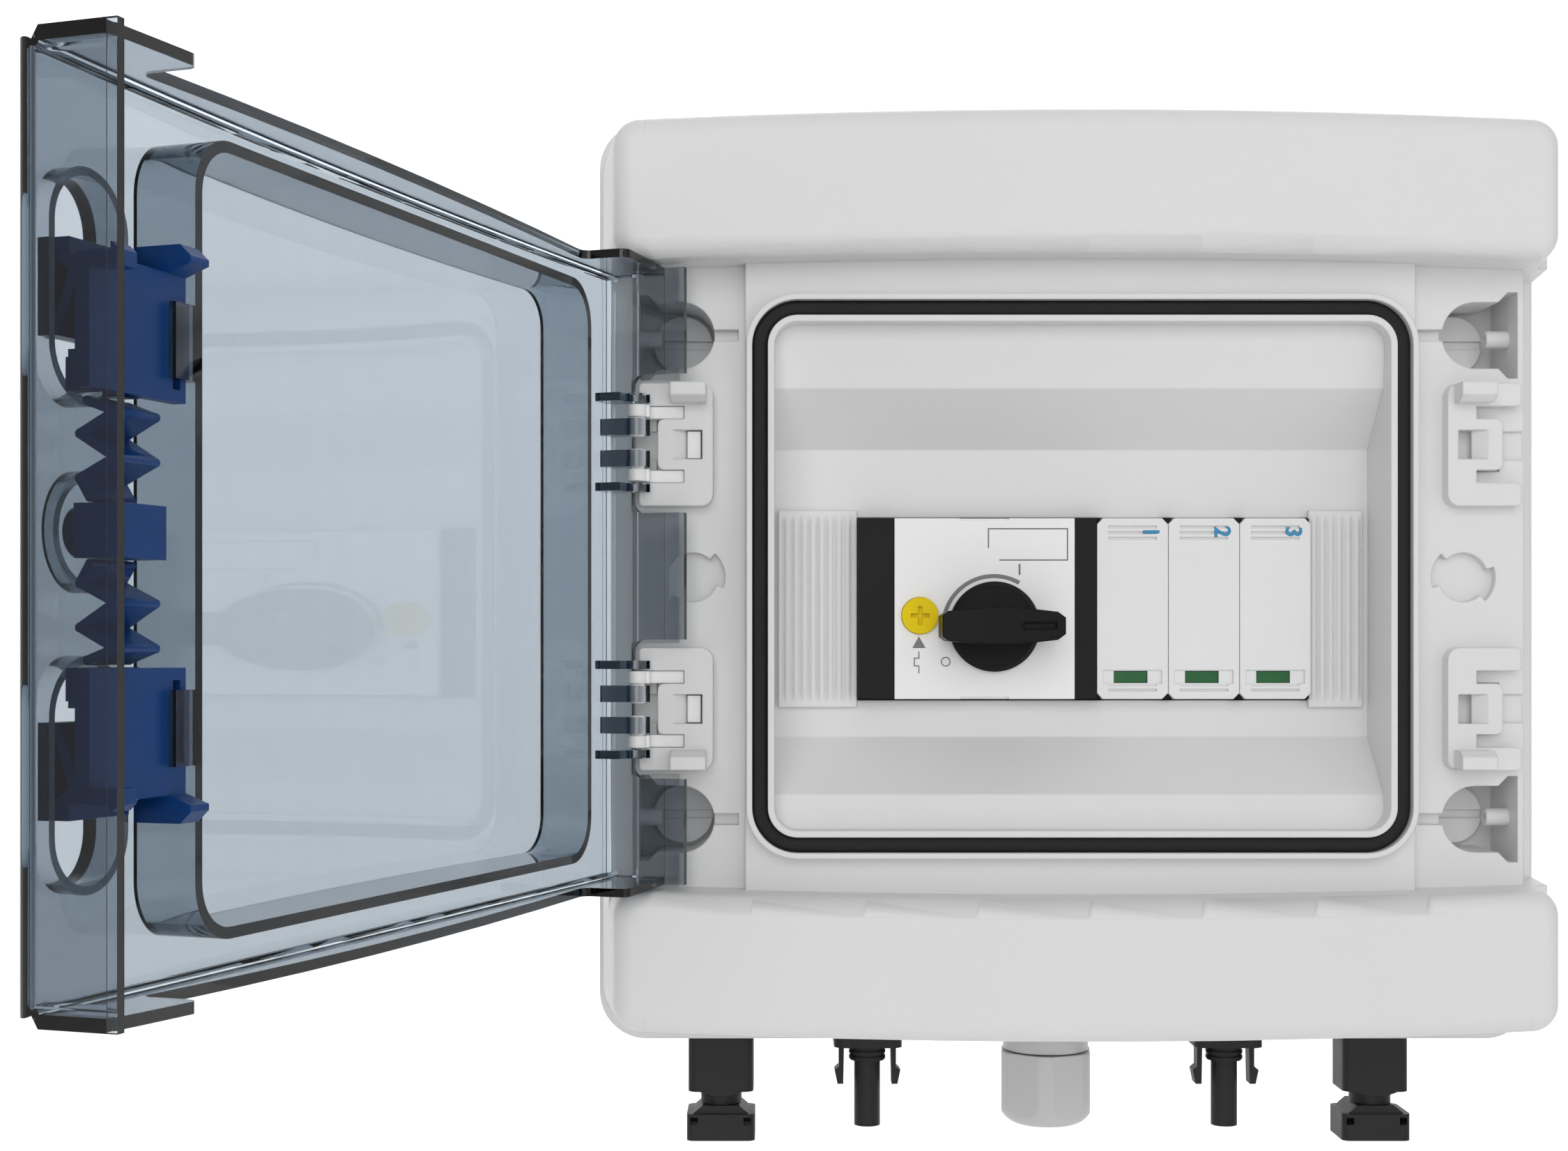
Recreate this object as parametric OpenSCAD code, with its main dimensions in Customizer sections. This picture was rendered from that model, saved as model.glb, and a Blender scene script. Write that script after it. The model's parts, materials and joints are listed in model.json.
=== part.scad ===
// Combiner box for one photovoltaic string: a wall enclosure with a clear hinged
// door, a rotary isolator, three plug-in surge arresters and plug connectors.
// Origin at the centre of the wall face, +X right, -Y towards the user, +Z up.
// Depths called "depth" are measured from the cover's front face towards the wall.

/* [Enclosure] */
// Width of the base shell
base_w = 238; // [232:1:260]
// Height of the base shell
base_h = 234; // [230:1:256]
// Depth of the base shell, wall to parting line
base_d = 62; // [58:1:80]
// Depth of the front cover, parting line to front face
cover_d = 53; // [51:1:60]
// Wall thickness of both shells
wall = 2.5; // [2:0.1:3]
// Width of the sealing rim at the parting line
rim_w = 5.5; // [5:0.1:6.5]
// Corner radius of the base shell
base_r = 12; // [8:0.5:14]
// Corner radius of the cover's front face
corner_r = 6; // [5.5:0.1:8]
// Rounding of the cover's front edges
edge_r = 5; // [3:0.1:5.5]
// Sideways widening of the cover per millimetre of depth
draft = 0.15; // [0.1:0.01:0.18]
// Depth over which the cover widens
draft_d = 40; // [36:1:44]
// Rise of the cover's arched top and bottom edges
arch_rise = 2.5; // [1.5:0.1:4]

/* [Centre zone] */
// Clear height between the two bulges at their ends
zone_h = 151; // [149:0.5:155]
// Rise of the bulges' arched inner edges
zone_rise = 1.9; // [1:0.1:2.5]
// Rounding of the bulges' inner front edges
inner_edge_r = 4.5; // [3:0.1:5]
// Depth of the side strips that carry hinges and catches
strip_depth = 17; // [16.5:0.1:19]
// Depth of the raised panel round the window
panel_depth = 13; // [12:0.1:14]
// Width of the raised panel
panel_w = 163; // [163:0.5:168]

/* [Window] */
// Outer width of the sealing lip
lip_w = 162.4; // [160:0.2:162.6]
// Outer height of the sealing lip
lip_h = 136.6; // [134:0.2:138]
// Depth of the lip's crest
lip_depth = 8.7; // [8:0.1:9.5]
// Thickness of the outer lip
lip_t = 1.4; // [1.2:0.1:1.8]
// Width of the gasket groove
groove_w = 3.8; // [3.5:0.1:4]
// Thickness of the inner lip
inner_lip_t = 1.6; // [1.4:0.1:2]
// Corner radius of the window opening
window_r = 5.6; // [4:0.2:8]
// Depth of the gasket's face
gasket_depth = 10.5; // [10.2:0.1:11]
// Depth of the plate round the devices
plate_depth = 30; // [28.5:0.5:33]
// Thickness of that plate
plate_t = 2.2; // [2:0.1:2.5]

/* [Hinges and catches] */
// Height of the hinge and catch posts above and below the middle
post_z = 32.2; // [31:0.1:34]
// Thickness of a post above the strip
post_t = 4; // [3.5:0.1:4.5]
// Diameter of the hinge pins
pin_d = 3.5; // [3:0.1:3.8]
// Radial play between a hinge pin and the door's knuckle
pin_play = 0.08; // [0.03:0.01:0.1]
// Depth of the hinge axis
pin_depth = 9.6; // [9.2:0.1:10]
// Angle that the door stands open
open_angle = 109; // [90:1:120]
// Height of the cover screws above and below the middle
screw_z = 59.3; // [58:0.1:60.5]
// Diameter of a cover screw's head
screw_d = 14.6; // [13:0.1:15]

/* [Door] */
// Wall thickness of the door
door_t = 2; // [1.6:0.1:2.4]
// Rise of the domed front of the door
dome_rise = 7; // [5:0.5:8]
// Gap between the door and the bulges
door_gap = 1; // [0.6:0.1:1.5]
// Depth of the door's flange on the hinge side
hinge_flange = 21; // [19:0.1:21.5]
// Depth of the door's flange on the catch side
free_flange = 18.6; // [17:0.1:20]
// Thickness of the sealing ring inside the door
ring_t = 2; // [1.6:0.1:2.4]
// Travel of a catch
catch_travel = 4; // [2:0.1:4]

/* [Devices] */
// Height of the device row's centre line
row_z = -7.5; // [-9:0.1:-6]
// Height of the devices' noses
nose_h = 45; // [44:0.2:46]
// Depth of the devices' faces
face_depth = 25; // [24:0.5:27]
// Width of the auxiliary contact block
aux_w = 8.9; // [8:0.1:9.5]
// Width of the isolator's face plate
face_w = 44.8; // [43:0.1:46]
// Width of the isolator's side strip
strip_w = 5.4; // [4:0.1:6]
// Width of one surge cartridge
cartridge_w = 17.6; // [17:0.1:18]
// Left edge of the device row
row_x = -53.6; // [-55:0.1:-52]
// Diameter of the isolator knob's skirt
knob_d = 22.4; // [20:0.2:24]
// Height of the knob above the face plate
knob_h = 17; // [14:0.5:17.5]
// Diameter of the test button
button_d = 9.1; // [8:0.1:10]
// Travel of the test button
button_travel = 1.5; // [0.8:0.1:2]
// Distance between two ribs of a blanking piece
rib_pitch = 2.2; // [1.8:0.1:3]

/* [Connections] */
// Sideways place of the panel sockets
socket_x = 89; // [84:0.5:90]
// Sideways place of the panel plugs
plug_x = 49; // [44:0.5:52]
// Distance of the connectors from the wall
port_y = 33; // [31:0.5:36]
// Length of a socket below the base
socket_l = 33.9; // [32:0.1:38]
// Width of a socket
socket_w = 18.5; // [17:0.1:19]
// Length of a plug below the base
plug_l = 30.9; // [29:0.1:35]
// Diameter of a plug's barrel
barrel_d = 7.1; // [6.6:0.1:7.4]
// Width across flats of the gland nut
gland_af = 24; // [23:0.5:26]
// Largest cable that the gland takes
cable_d = 9; // [6:0.5:10]
// Distance between the wall fixing holes across
fixing_x = 196; // [190:1:200]
// Distance between the wall fixing holes in height
fixing_z = 192; // [186:1:196]
// Diameter of the wall fixing holes
fixing_d = 5.2; // [4.2:0.1:6]

/* [Hidden] */
$fn = 48;
round_fn = 1080;
lap = 0.2;

shell_grey = "gainsboro";
device_black = "dimgray";

front_y = -(base_d + cover_d);
cover_w = base_w - 2 * draft * draft_d - 1.2;
cover_h = base_h - 2 * draft * draft_d - 2 * arch_rise;
corner_x = cover_w / 2 - corner_r;
corner_z = cover_h / 2 - corner_r;
flank_x = cover_w / 2 - 3.2;
flank_depth = hinge_flange + 1;
panel_x = panel_w / 2;
floor_t = 4;

recess_w = lip_w - 2 * (lip_t + groove_w + inner_lip_t);
recess_h = lip_h - 2 * (lip_t + groove_w + inner_lip_t);
shelf_depth = panel_depth + 1;
plate_top = row_z + nose_h / 2 + 17.4;
plate_bottom = row_z - nose_h / 2 - 9.6;

play = 0.2;
row_play = 0.15;
face_y = front_y + face_depth;
plate_y = front_y + plate_depth;
switch_x = row_x + aux_w + row_play;
spd_x = switch_x + face_w + strip_w + row_play;
slide_play = 0.07;
cartridge_pitch = cartridge_w + 2 * slide_play;
spd_w = 3 * cartridge_pitch;
row_end = spd_x + spd_w;
rail_front = wall + 12.5;
body_h = 93;
shoulder_y = plate_y + plate_t + 8;

screw_x = flank_x - 11.9;
pocket_r = screw_d / 2 + 0.85;
head_depth = strip_depth + 18;
head_t = 2.2;
tower_r = 7;
thread_r = 2.5;

post_in = 89.4;
post_out = flank_x - 1.9;
stem_x = post_in + 7;
loop_x = stem_x + 6.4;
arm_in = 9.35;
arm_out = 14.95;
loop_h = 12.4;
slot_w = arm_in - loop_h / 2;
post_face = strip_depth - post_t;

hinge_x = -(cover_w / 2 - 4.8);
hinge_y = front_y + pin_depth;
pin_r = pin_d / 2;
knuckle_r = 3.1;
// radius that the hinge flange sweeps, with some air
trough_r = hinge_flange - pin_depth + 1;
notch_in = 15.3;
notch_out = 49;

door_w = cover_w - 2.2;
door_x = door_w / 2;
door_h = zone_h - 2 * door_gap;
flange_t = 1.8;
ring_w = lip_w - 2 * lip_t - groove_w + ring_t;
ring_h = lip_h - 2 * lip_t - groove_w + ring_t;
ring_r = window_r + inner_lip_t + groove_w / 2 + ring_t / 2;
ring_depth = gasket_depth - 0.3;

knob_x = switch_x + 24.7;
knob_z = row_z - 4.5;
button_x = switch_x + 6.3;
button_z = row_z - 1.75;

edge_back = 0.8;
rim_d = 6;
seal_in = 1.6;
seal_w = 2.4;
seal_d = 2;
tower_top = base_d + 2.2;
standoff = 5;
rail_fix_x = 88;
rail_l = 200;
port_r = 6.2;
gland_r = 10;
gland_thread_r = 9.2;
nut_l = 20;
nut_end = 30.3;
low_wall = 4.8;
deep_wall = 16;
notch_depth = pin_depth - 2;
finger_x = 98;
finger_z = 37.5;
core_x = 95.5;
shaft_r = 4;
entry_y = 50;
pole_x = [switch_x + 11.5, switch_x + 38.5];
chamfer_c = 1.5;
stem_w = 15.4;
stem_h = 41;
slot_floor = -40;
blade_z = 14;
window_z = -17;
wire_r = 2.2;
entry_r = wire_r + 0.3;
wire_start = -base_h / 2 + wall + 13.5;
wire_low = -96;
wire_high = -84;

function depth(t) = front_y + t;

// ---- drawing helpers ----

// Extrudes an outline in X and Z between two places along Y
module along_y(y0, y1) {
    translate([0, y1, 0]) rotate([90, 0, 0]) linear_extrude(y1 - y0) children();
}

// Extrudes an outline in X and Z between two depths behind the front face
module at_depth(t0, t1) {
    along_y(depth(t0), depth(t1)) children();
}

// Extrudes an outline in Y and Z along X
module along_x(x0, x1) {
    translate([x0, 0, 0]) rotate([90, 0, 90]) linear_extrude(x1 - x0) children();
}

// A block given by its X range, its depth range and its Z range
module block(x0, x1, t0, t1, z0, z1) {
    translate([x0, depth(t0), z0]) cube([x1 - x0, t1 - t0, z1 - z0]);
}

// A round bar along Y between two depths
module bar_y(r, t0, t1) {
    translate([0, depth(t0), 0]) rotate([-90, 0, 0]) cylinder(r = r, h = t1 - t0);
}

module round_rect(w, h, r) {
    square([w - 2 * r, h], center = true);
    square([w, h - 2 * r], center = true);
    for (x = [-1, 1], z = [-1, 1])
        translate([x * (w / 2 - r), z * (h / 2 - r)]) circle(r);
}

// A straight strip with round ends between two points
module capsule(a, b, t) {
    d = b - a;
    translate(a) rotate(atan2(d[1], d[0])) translate([0, -t / 2]) square([norm(d), t]);
    translate(a) circle(t / 2 + 0.04);
    translate(b) circle(t / 2 + 0.04);
}

module mirrored_x() {
    children();
    mirror([1, 0, 0]) children();
}

module mirrored_z() {
    children();
    mirror([0, 0, 1]) children();
}

// Sets how fine round shapes are drawn
module fine(n) {
    $fn = n;
    children();
}

// Revolves a profile (radius, depth) about an axis along Y through (x, z)
module turned(x, z) {
    translate([x, front_y, z]) rotate([-90, 0, 0]) rotate_extrude() children();
}

// Sweeps a profile (height above the chord, depth) along a flat arch over X
module arched(half_w, chord_z, rise, reach) {
    r = (half_w * half_w + rise * rise) / (2 * rise);
    a = asin(reach / r);
    translate([0, front_y, chord_z + rise - r]) rotate([-90, 0, 0]) rotate([0, 0, -90 - a])
        rotate_extrude(angle = 2 * a, $fn = round_fn) translate([r, 0]) fine(36) children();
}

// ---- front cover ----

// Outer edge of the cover: flat front, rounded edge, leaning wall
module edge_profile() {
    lean = sqrt(1 + draft * draft);
    u = corner_r + draft * edge_r - edge_r * lean;
    polygon([[0, 0], [u, 0], [u, edge_r],
        [u + edge_r / lean, edge_r - edge_r * draft / lean],
        [corner_r + draft * draft_d, draft_d], [0, draft_d]]);
    intersection() {
        translate([u, edge_r]) circle(edge_r);
        square([corner_r + edge_r, edge_r]);
    }
}

module cover_body() {
    translate([0, front_y, -corner_z]) linear_extrude(2 * corner_z) {
        translate([-corner_x, 0]) square([2 * corner_x, draft_d]);
        mirrored_x() translate([corner_x, 0]) edge_profile();
    }
    // the arch ends just inside the round corners, whose surface carries on from it
    mirrored_z() arched(corner_x, corner_z, arch_rise, corner_x - 1.3) {
        translate([-6, 0]) square([6, draft_d]);
        edge_profile();
    }
    for (x = [-1, 1], z = [-1, 1])
        turned(x * corner_x, z * corner_z) edge_profile();
    at_depth(draft_d - lap, cover_d) round_rect(base_w, base_h, base_r);
}

// What is taken away between the two bulges
module zone_cut() {
    z = zone_h / 2;
    mirrored_z() arched(corner_x, z, zone_rise, base_w / 2 + 4) {
        translate([-z - zone_rise - 1, -1]) square([z + zone_rise + 1, strip_depth + 1]);
        difference() {
            translate([-1, -1]) square([inner_edge_r + 1, inner_edge_r + 1]);
            translate([inner_edge_r, inner_edge_r]) circle(inner_edge_r);
        }
    }
    translate([0, front_y, -z]) linear_extrude(zone_h) mirrored_x()
        polygon([[flank_x, -1], [base_w, -1], [base_w, draft_d - 1],
            [base_w / 2 - 0.6, draft_d - 1], [flank_x, flank_depth]]);
    // rounds the bulges' inner corners to the radius of the outer ones
    for (x = [0, 1], k = [0, 1]) mirror([x, 0, 0]) mirror([0, 0, k]) difference() {
        block(corner_x, base_w, -1, strip_depth, z - 1, z + corner_r);
        turned(corner_x, z + corner_r) edge_profile();
    }
}

// The post that a hinge insert clips on or a catch hooks under, for the upper right
module post() {
    translate([0, 0, post_z]) {
        difference() {
            at_depth(post_face, strip_depth + 1) {
                translate([post_in + 3, -arm_out]) square([stem_x - post_in - 3, 2 * arm_out]);
                translate([post_in, -arm_out + 3]) square([4, 2 * arm_out - 6]);
                for (k = [-1, 1]) {
                    translate([post_in + 3, k * (arm_out - 3)]) circle(3);
                    translate([0, k * (arm_in + arm_out) / 2]) {
                        translate([stem_x - 1, -(arm_out - arm_in) / 2])
                            square([post_out - stem_x, arm_out - arm_in]);
                        translate([post_out - 2.8, 0])
                            round_rect(5.6, arm_out - arm_in, 1);
                    }
                }
                translate([stem_x - 1, -loop_h / 2]) square([loop_x - stem_x - 1, loop_h]);
                translate([loop_x - 4, 0]) round_rect(8, loop_h, 1.6);
            }
            // hole and ramp in the loop, tunnel under it
            block(post_in + 2.6, stem_x - 0.5, post_face - 1, strip_depth + 2, -3.55, 3.55);
            translate([0, front_y, -3.55]) linear_extrude(7.1)
                polygon([[stem_x - 0.6, post_face - 0.1], [stem_x + 3.1, post_face - 0.1],
                    [stem_x - 0.6, post_face + 2.4]]);
            block(stem_x - 1, base_w / 2, post_face + 2.9, strip_depth + 2, -3.5, 3.5);
            block(stem_x + 0.6, loop_x + 0.4, post_face + 2.9, strip_depth + 2,
                -loop_h / 2 - 0.1, loop_h / 2 + 0.1);
            // undercut that holds the hook of a catch
            block(loop_x + 0.5, post_out + 1, post_face + 2, strip_depth, arm_in - 1,
                arm_in + 1.35);
        }
        // raised stop with a bevel towards the middle
        along_x(post_in + 1.6, stem_x + 3.1) translate([front_y, 0])
            polygon([[post_face + 0.5, 10], [post_face + 0.5, 14.5], [post_face - 6.5, 14.5],
                [post_face - 6.5, 11.4], [post_face - 4, 10]]);
    }
}

// Outline of the pocket of a cover screw, widened by a wall for its boss
module pocket_outline(extra = 0) {
    r = pocket_r + extra;
    translate([screw_x, screw_z]) {
        circle(r);
        translate([0, -r]) square([flank_x - 1.5 + extra - screw_x, 2 * r]);
        polygon([[flank_x - 6.2 - screw_x, -r], [flank_x - 3.9 - screw_x, -r - 2.4],
            [flank_x - 1.5 + extra - screw_x, -r - 2.4],
            [flank_x - 1.5 + extra - screw_x, r + 2.4],
            [flank_x - 3.9 - screw_x, r + 2.4], [flank_x - 6.2 - screw_x, r]]);
    }
}

// Bayonet recess at mid height
module bayonet_outline() {
    translate([screw_x - 2.9, 0]) {
        circle(6.05);
        intersection() {
            circle(7.9);
            for (a = [0, 180]) rotate(a)
                polygon([[0, 0], [12 * cos(-47), 12 * sin(-47)], [14, 0],
                    [12 * cos(19), 12 * sin(19)]]);
        }
    }
}

module quarters() {
    for (x = [0, 1], z = [0, 1]) mirror([x, 0, 0]) mirror([0, 0, z]) children();
}

// The hollow behind the cover's walls
module cover_cavity() {
    z_in = zone_h / 2;
    difference() {
        union() {
            mirrored_z()
                block(-corner_x, corner_x, wall, cover_d + 1, z_in + zone_rise + wall,
                    corner_z + corner_r - wall);
            mirrored_x() block(panel_x - wall, flank_x - 17, strip_depth + floor_t,
                cover_d + 1, -z_in - zone_rise - wall - 1, z_in + zone_rise + wall + 1);
            block(flank_x - 18, flank_x - wall, strip_depth + floor_t,
                cover_d + 1, -z_in - zone_rise - wall - 1, z_in + zone_rise + wall + 1);
            block(-flank_x + wall, -flank_x + 18, pin_depth + trough_r + wall,
                cover_d + 1, -z_in - zone_rise - wall - 1, z_in + zone_rise + wall + 1);
            at_depth(plate_depth + plate_t, cover_d + 1)
                square([panel_w, zone_h + 2 * zone_rise + 2 * wall + 2], center = true);
            at_depth(draft_d + wall, cover_d + 1)
                round_rect(base_w - 2 * rim_w, base_h - 2 * rim_w, base_r - rim_w + 1);
        }
        // the funnel between the window's shelf and the plate stays solid
        at_depth(0, plate_depth + plate_t)
            square([recess_w + 2 * wall, recess_h + 2 * wall], center = true);
        quarters() at_depth(strip_depth, head_depth + head_t + 2.4) pocket_outline(wall - 0.6);
        quarters() translate([screw_x, 0, screw_z]) bar_y(tower_r, strip_depth, cover_d - 2.3);
    }
}

// Hollow that lets the door's hinge flange turn past the cover
module hinge_trough() {
    translate([hinge_x, hinge_y, 0]) {
        translate([0, 0, -notch_in - 0.7]) cylinder(r = trough_r, h = 2 * notch_in + 1.4, $fn = 72);
        mirrored_z() translate([0, 0, notch_out - 0.7])
            cylinder(r = trough_r, h = zone_h / 2 - notch_out + 0.7, $fn = 72);
    }
}

module front_cover() {
    color(shell_grey) difference() {
        union() {
            difference() {
                cover_body();
                zone_cut();
            }
            at_depth(panel_depth, strip_depth + floor_t)
                square([panel_w, zone_h + 2 * zone_rise + 2], center = true);
            at_depth(lip_depth, panel_depth + 1)
                round_rect(lip_w, lip_h, window_r + inner_lip_t + groove_w + lip_t);
            quarters() post();
        }
        // gasket groove
        at_depth(lip_depth - 1, gasket_depth + 3) difference() {
            round_rect(lip_w - 2 * lip_t, lip_h - 2 * lip_t, window_r + inner_lip_t + groove_w);
            round_rect(recess_w + 2 * inner_lip_t, recess_h + 2 * inner_lip_t,
                window_r + inner_lip_t);
        }
        // stepped recess down to the plate round the devices
        intersection() {
            at_depth(-1, plate_depth) round_rect(recess_w, recess_h, window_r);
            along_x(-recess_w, recess_w) translate([front_y, 0])
                polygon([[-2, -recess_h], [-2, recess_h], [shelf_depth, recess_h],
                    [shelf_depth, recess_h / 2], [shelf_depth + 1.5, plate_top + 13.7],
                    [plate_depth, plate_top], [plate_depth, plate_bottom],
                    [shelf_depth + 1.5, plate_bottom - 13.5], [shelf_depth, -recess_h / 2],
                    [shelf_depth, -recess_h]]);
        }
        block(-recess_w / 2 + 1.4, recess_w / 2 - 1.4, plate_depth - 1,
            plate_depth + plate_t + 1, row_z - nose_h / 2 - 0.4, row_z + nose_h / 2 + 0.4);
        cover_cavity();
        quarters() {
            at_depth(strip_depth - 1, head_depth + head_t) pocket_outline();
            translate([screw_x, 0, screw_z]) bar_y(thread_r + 0.5, strip_depth, cover_d + 1);
            // channel for a sealing wire
            block(panel_x + 1.7, screw_x, strip_depth - 1, strip_depth + 2.5,
                screw_z - 1.4, screw_z + 1.4);
            translate([0, 0, post_z]) {
                block(post_in + 2.6, base_w / 2, post_face + 2.9, strip_depth + 1.2, -3.5, 3.5);
                block(stem_x + 0.6, loop_x + 0.4, post_face + 2.9, strip_depth + 1.2,
                    -loop_h / 2 - 0.1, loop_h / 2 + 0.1);
            }
        }
        hinge_trough();
        mirrored_x() at_depth(strip_depth - 1, strip_depth + 2.6) bayonet_outline();
    }
    // eyes that lead the sealing wire out of the screw pockets
    color(shell_grey) quarters() translate([flank_x - 7.2, depth(strip_depth + 8), screw_z])
        rotate([0, 90, 0]) difference() {
            cylinder(r = 2.2, h = 6.2);
            translate([0, 0, -1]) cylinder(r = 0.8, h = 9);
        }
}

// ---- base shell ----

module rim_outline(inset) {
    round_rect(base_w - 2 * inset, base_h - 2 * inset, base_r - inset);
}

module base_shell() {
    color(shell_grey) difference() {
        union() {
            difference() {
                union() {
                    along_y(-base_d, -edge_back) rim_outline(0);
                    along_y(-edge_back - 1, 0) rim_outline(edge_back);
                }
                along_y(-base_d - 1, -base_d + rim_d) rim_outline(rim_w);
                along_y(-base_d, -wall) rim_outline(wall);
            }
            difference() {
                along_y(-base_d, -base_d + rim_d) rim_outline(wall - 0.5);
                along_y(-base_d - 1, -base_d + rim_d + 1) rim_outline(rim_w);
            }
            quarters() {
                translate([screw_x, -wall + 0.5, screw_z]) rotate([90, 0, 0])
                    cylinder(r = tower_r, h = tower_top - wall + 0.5);
                // web that ties the tower to the side wall
                translate([screw_x, -base_d + 14, screw_z - 1])
                    cube([base_w / 2 - wall - screw_x + 0.5, base_d - 14 - wall + 0.5, 2]);
                translate([fixing_x / 2, -wall + 0.5, fixing_z / 2]) rotate([90, 0, 0])
                    cylinder(r = 7.5, h = 3.5);
            }
            for (x = [-1, 1]) translate([x * rail_fix_x, -wall + 0.5, row_z])
                rotate([90, 0, 0]) cylinder(r = 6, h = standoff + 0.5);
            // stiffening ribs of the back
            for (x = [-60, -20, 20, 60]) translate([x - 0.8, -wall - 2.5, -base_h / 2 + wall - 0.5])
                cube([1.6, 3, base_h - 2 * wall + 1]);
        }
        // groove of the rim seal
        along_y(-base_d - 1, -base_d + seal_d) difference() {
            rim_outline(seal_in);
            rim_outline(seal_in + seal_w);
        }
        quarters() {
            translate([screw_x, -base_d + 22, screw_z]) rotate([90, 0, 0])
                cylinder(r = thread_r, h = 40);
            translate([fixing_x / 2, 1, fixing_z / 2]) rotate([90, 0, 0])
                cylinder(d = fixing_d, h = 10);
        }
        for (x = [-1, 1]) translate([x * rail_fix_x, -wall, row_z]) rotate([90, 0, 0])
            cylinder(r = 2.1, h = 10);
        for (x = [-socket_x, -plug_x, plug_x, socket_x]) translate([x, -port_y, -base_h / 2 - 1])
            cylinder(r = port_r, h = wall + 2);
        translate([0, -port_y, -base_h / 2 - 1]) cylinder(r = gland_r, h = wall + 2);
    }
}

module base_seal() {
    color("dimgray") along_y(-base_d + 0.1, -base_d + seal_d) difference() {
        rim_outline(seal_in + 0.1);
        rim_outline(seal_in + seal_w - 0.1);
    }
}

module cover_screws() {
    color("white") quarters() translate([screw_x, 0, screw_z]) {
        difference() {
            bar_y(screw_d / 2, head_depth, head_depth + head_t);
            block(-screw_d, screw_d, head_depth - 1, head_depth + 1.2, -1.05, 1.05);
        }
        bar_y(thread_r - 0.08, head_depth + head_t - 0.5, cover_d + 18);
    }
}

module door_gasket() {
    color("dimgray") at_depth(gasket_depth, gasket_depth + 3) difference() {
        round_rect(lip_w - 2 * lip_t - 0.2, lip_h - 2 * lip_t - 0.2,
            window_r + inner_lip_t + groove_w - 0.1);
        round_rect(recess_w + 2 * inner_lip_t + 0.2, recess_h + 2 * inner_lip_t + 0.2,
            window_r + inner_lip_t + 0.1);
    }
}

// ---- hinges, door and catches ----

// Turns the closed door about its hinges to the angle at which it stands open
module opened() {
    translate([hinge_x, hinge_y, 0]) rotate([0, 0, -open_angle])
        translate([-hinge_x, -hinge_y, 0]) children();
}

// White insert with two arms that lie in the slots of a post and end in hinge pins
module hinge_insert() {
    arm_t = slot_w - 0.2;
    color("whitesmoke") translate([0, 0, post_z]) {
        mirrored_z() {
            translate([0, 0, loop_h / 2 + 0.1]) linear_extrude(arm_t) {
                translate([-post_out - 2, depth(strip_depth - 2.3)])
                    square([post_out + 2 - stem_x - 0.1, 2.25]);
                translate([-post_out, depth(strip_depth - 3.3)])
                    square([post_out - stem_x - 0.1, 3.25]);
                translate([hinge_x, hinge_y]) circle(pin_r + 0.45);
                // leg on the side that the opened door doesn't reach
                translate([hinge_x + 0.3, hinge_y]) square([2.7, strip_depth - pin_depth - 0.05]);
            }
            translate([hinge_x, hinge_y, 1.5]) cylinder(r = pin_r, h = loop_h / 2);
        }
        block(-loop_x, -stem_x - 1, post_face + 3, strip_depth - 0.1,
            -loop_h / 2 - 0.3, loop_h / 2 + 0.3);
        block(-loop_x, -stem_x - 1, strip_depth - 0.2, strip_depth + 1.1, -loop_h / 2, loop_h / 2);
        block(-stem_x - 2, -post_in - 3, post_face + 3.1, strip_depth + 1.1, -3.3, 3.3);
        block(-stem_x + 0.8, -post_in - 3, post_face + 1.2, strip_depth + 1.1, -3.3, 3.3);
    }
}

// Front outline of the door, arched at top and bottom
module door_outline(inset) {
    x = door_x - inset;
    z = door_h / 2 - inset;
    r = (door_x * door_x + zone_rise * zone_rise) / (2 * zone_rise);
    fillet = 4 - inset;
    difference() {
        square([2 * x, 2 * z + 4 * zone_rise], center = true);
        for (k = [0, 1]) mirror([0, k]) {
            difference() {
                translate([-x - 1, z - 1]) square([2 * x + 2, 3 * zone_rise + 2]);
                translate([0, z + zone_rise - r]) circle(r, $fn = 4 * round_fn);
            }
            for (j = [0, 1]) mirror([j, 0]) difference() {
                translate([x - fillet, z - fillet]) square(fillet + 4);
                translate([x - fillet, z - fillet]) circle(fillet);
                translate([x - fillet - 1, z - fillet - 1]) square([fillet + 0.9, fillet + 1]);
            }
        }
    }
}

// Plan of the door: domed front with rounded sides, down to a given depth
module door_plan(inset, back) {
    x = door_x - inset;
    r = (door_x * door_x + dome_rise * dome_rise) / (2 * dome_rise);
    fillet = 4 - inset;
    lead = fillet * 0.88;
    intersection() {
        translate([-x, -dome_rise - 1]) square([2 * x, back + dome_rise + 1]);
        translate([0, r - dome_rise + inset]) circle(r, $fn = 4 * round_fn);
        union() {
            translate([-x + fillet, -dome_rise - 1])
                square([2 * (x - fillet), back + dome_rise + 1]);
            translate([-x, inset + lead]) square([2 * x, back - inset - lead]);
            for (k = [-1, 1]) translate([k * (x - fillet), inset + lead]) circle(fillet);
        }
    }
}

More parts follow.
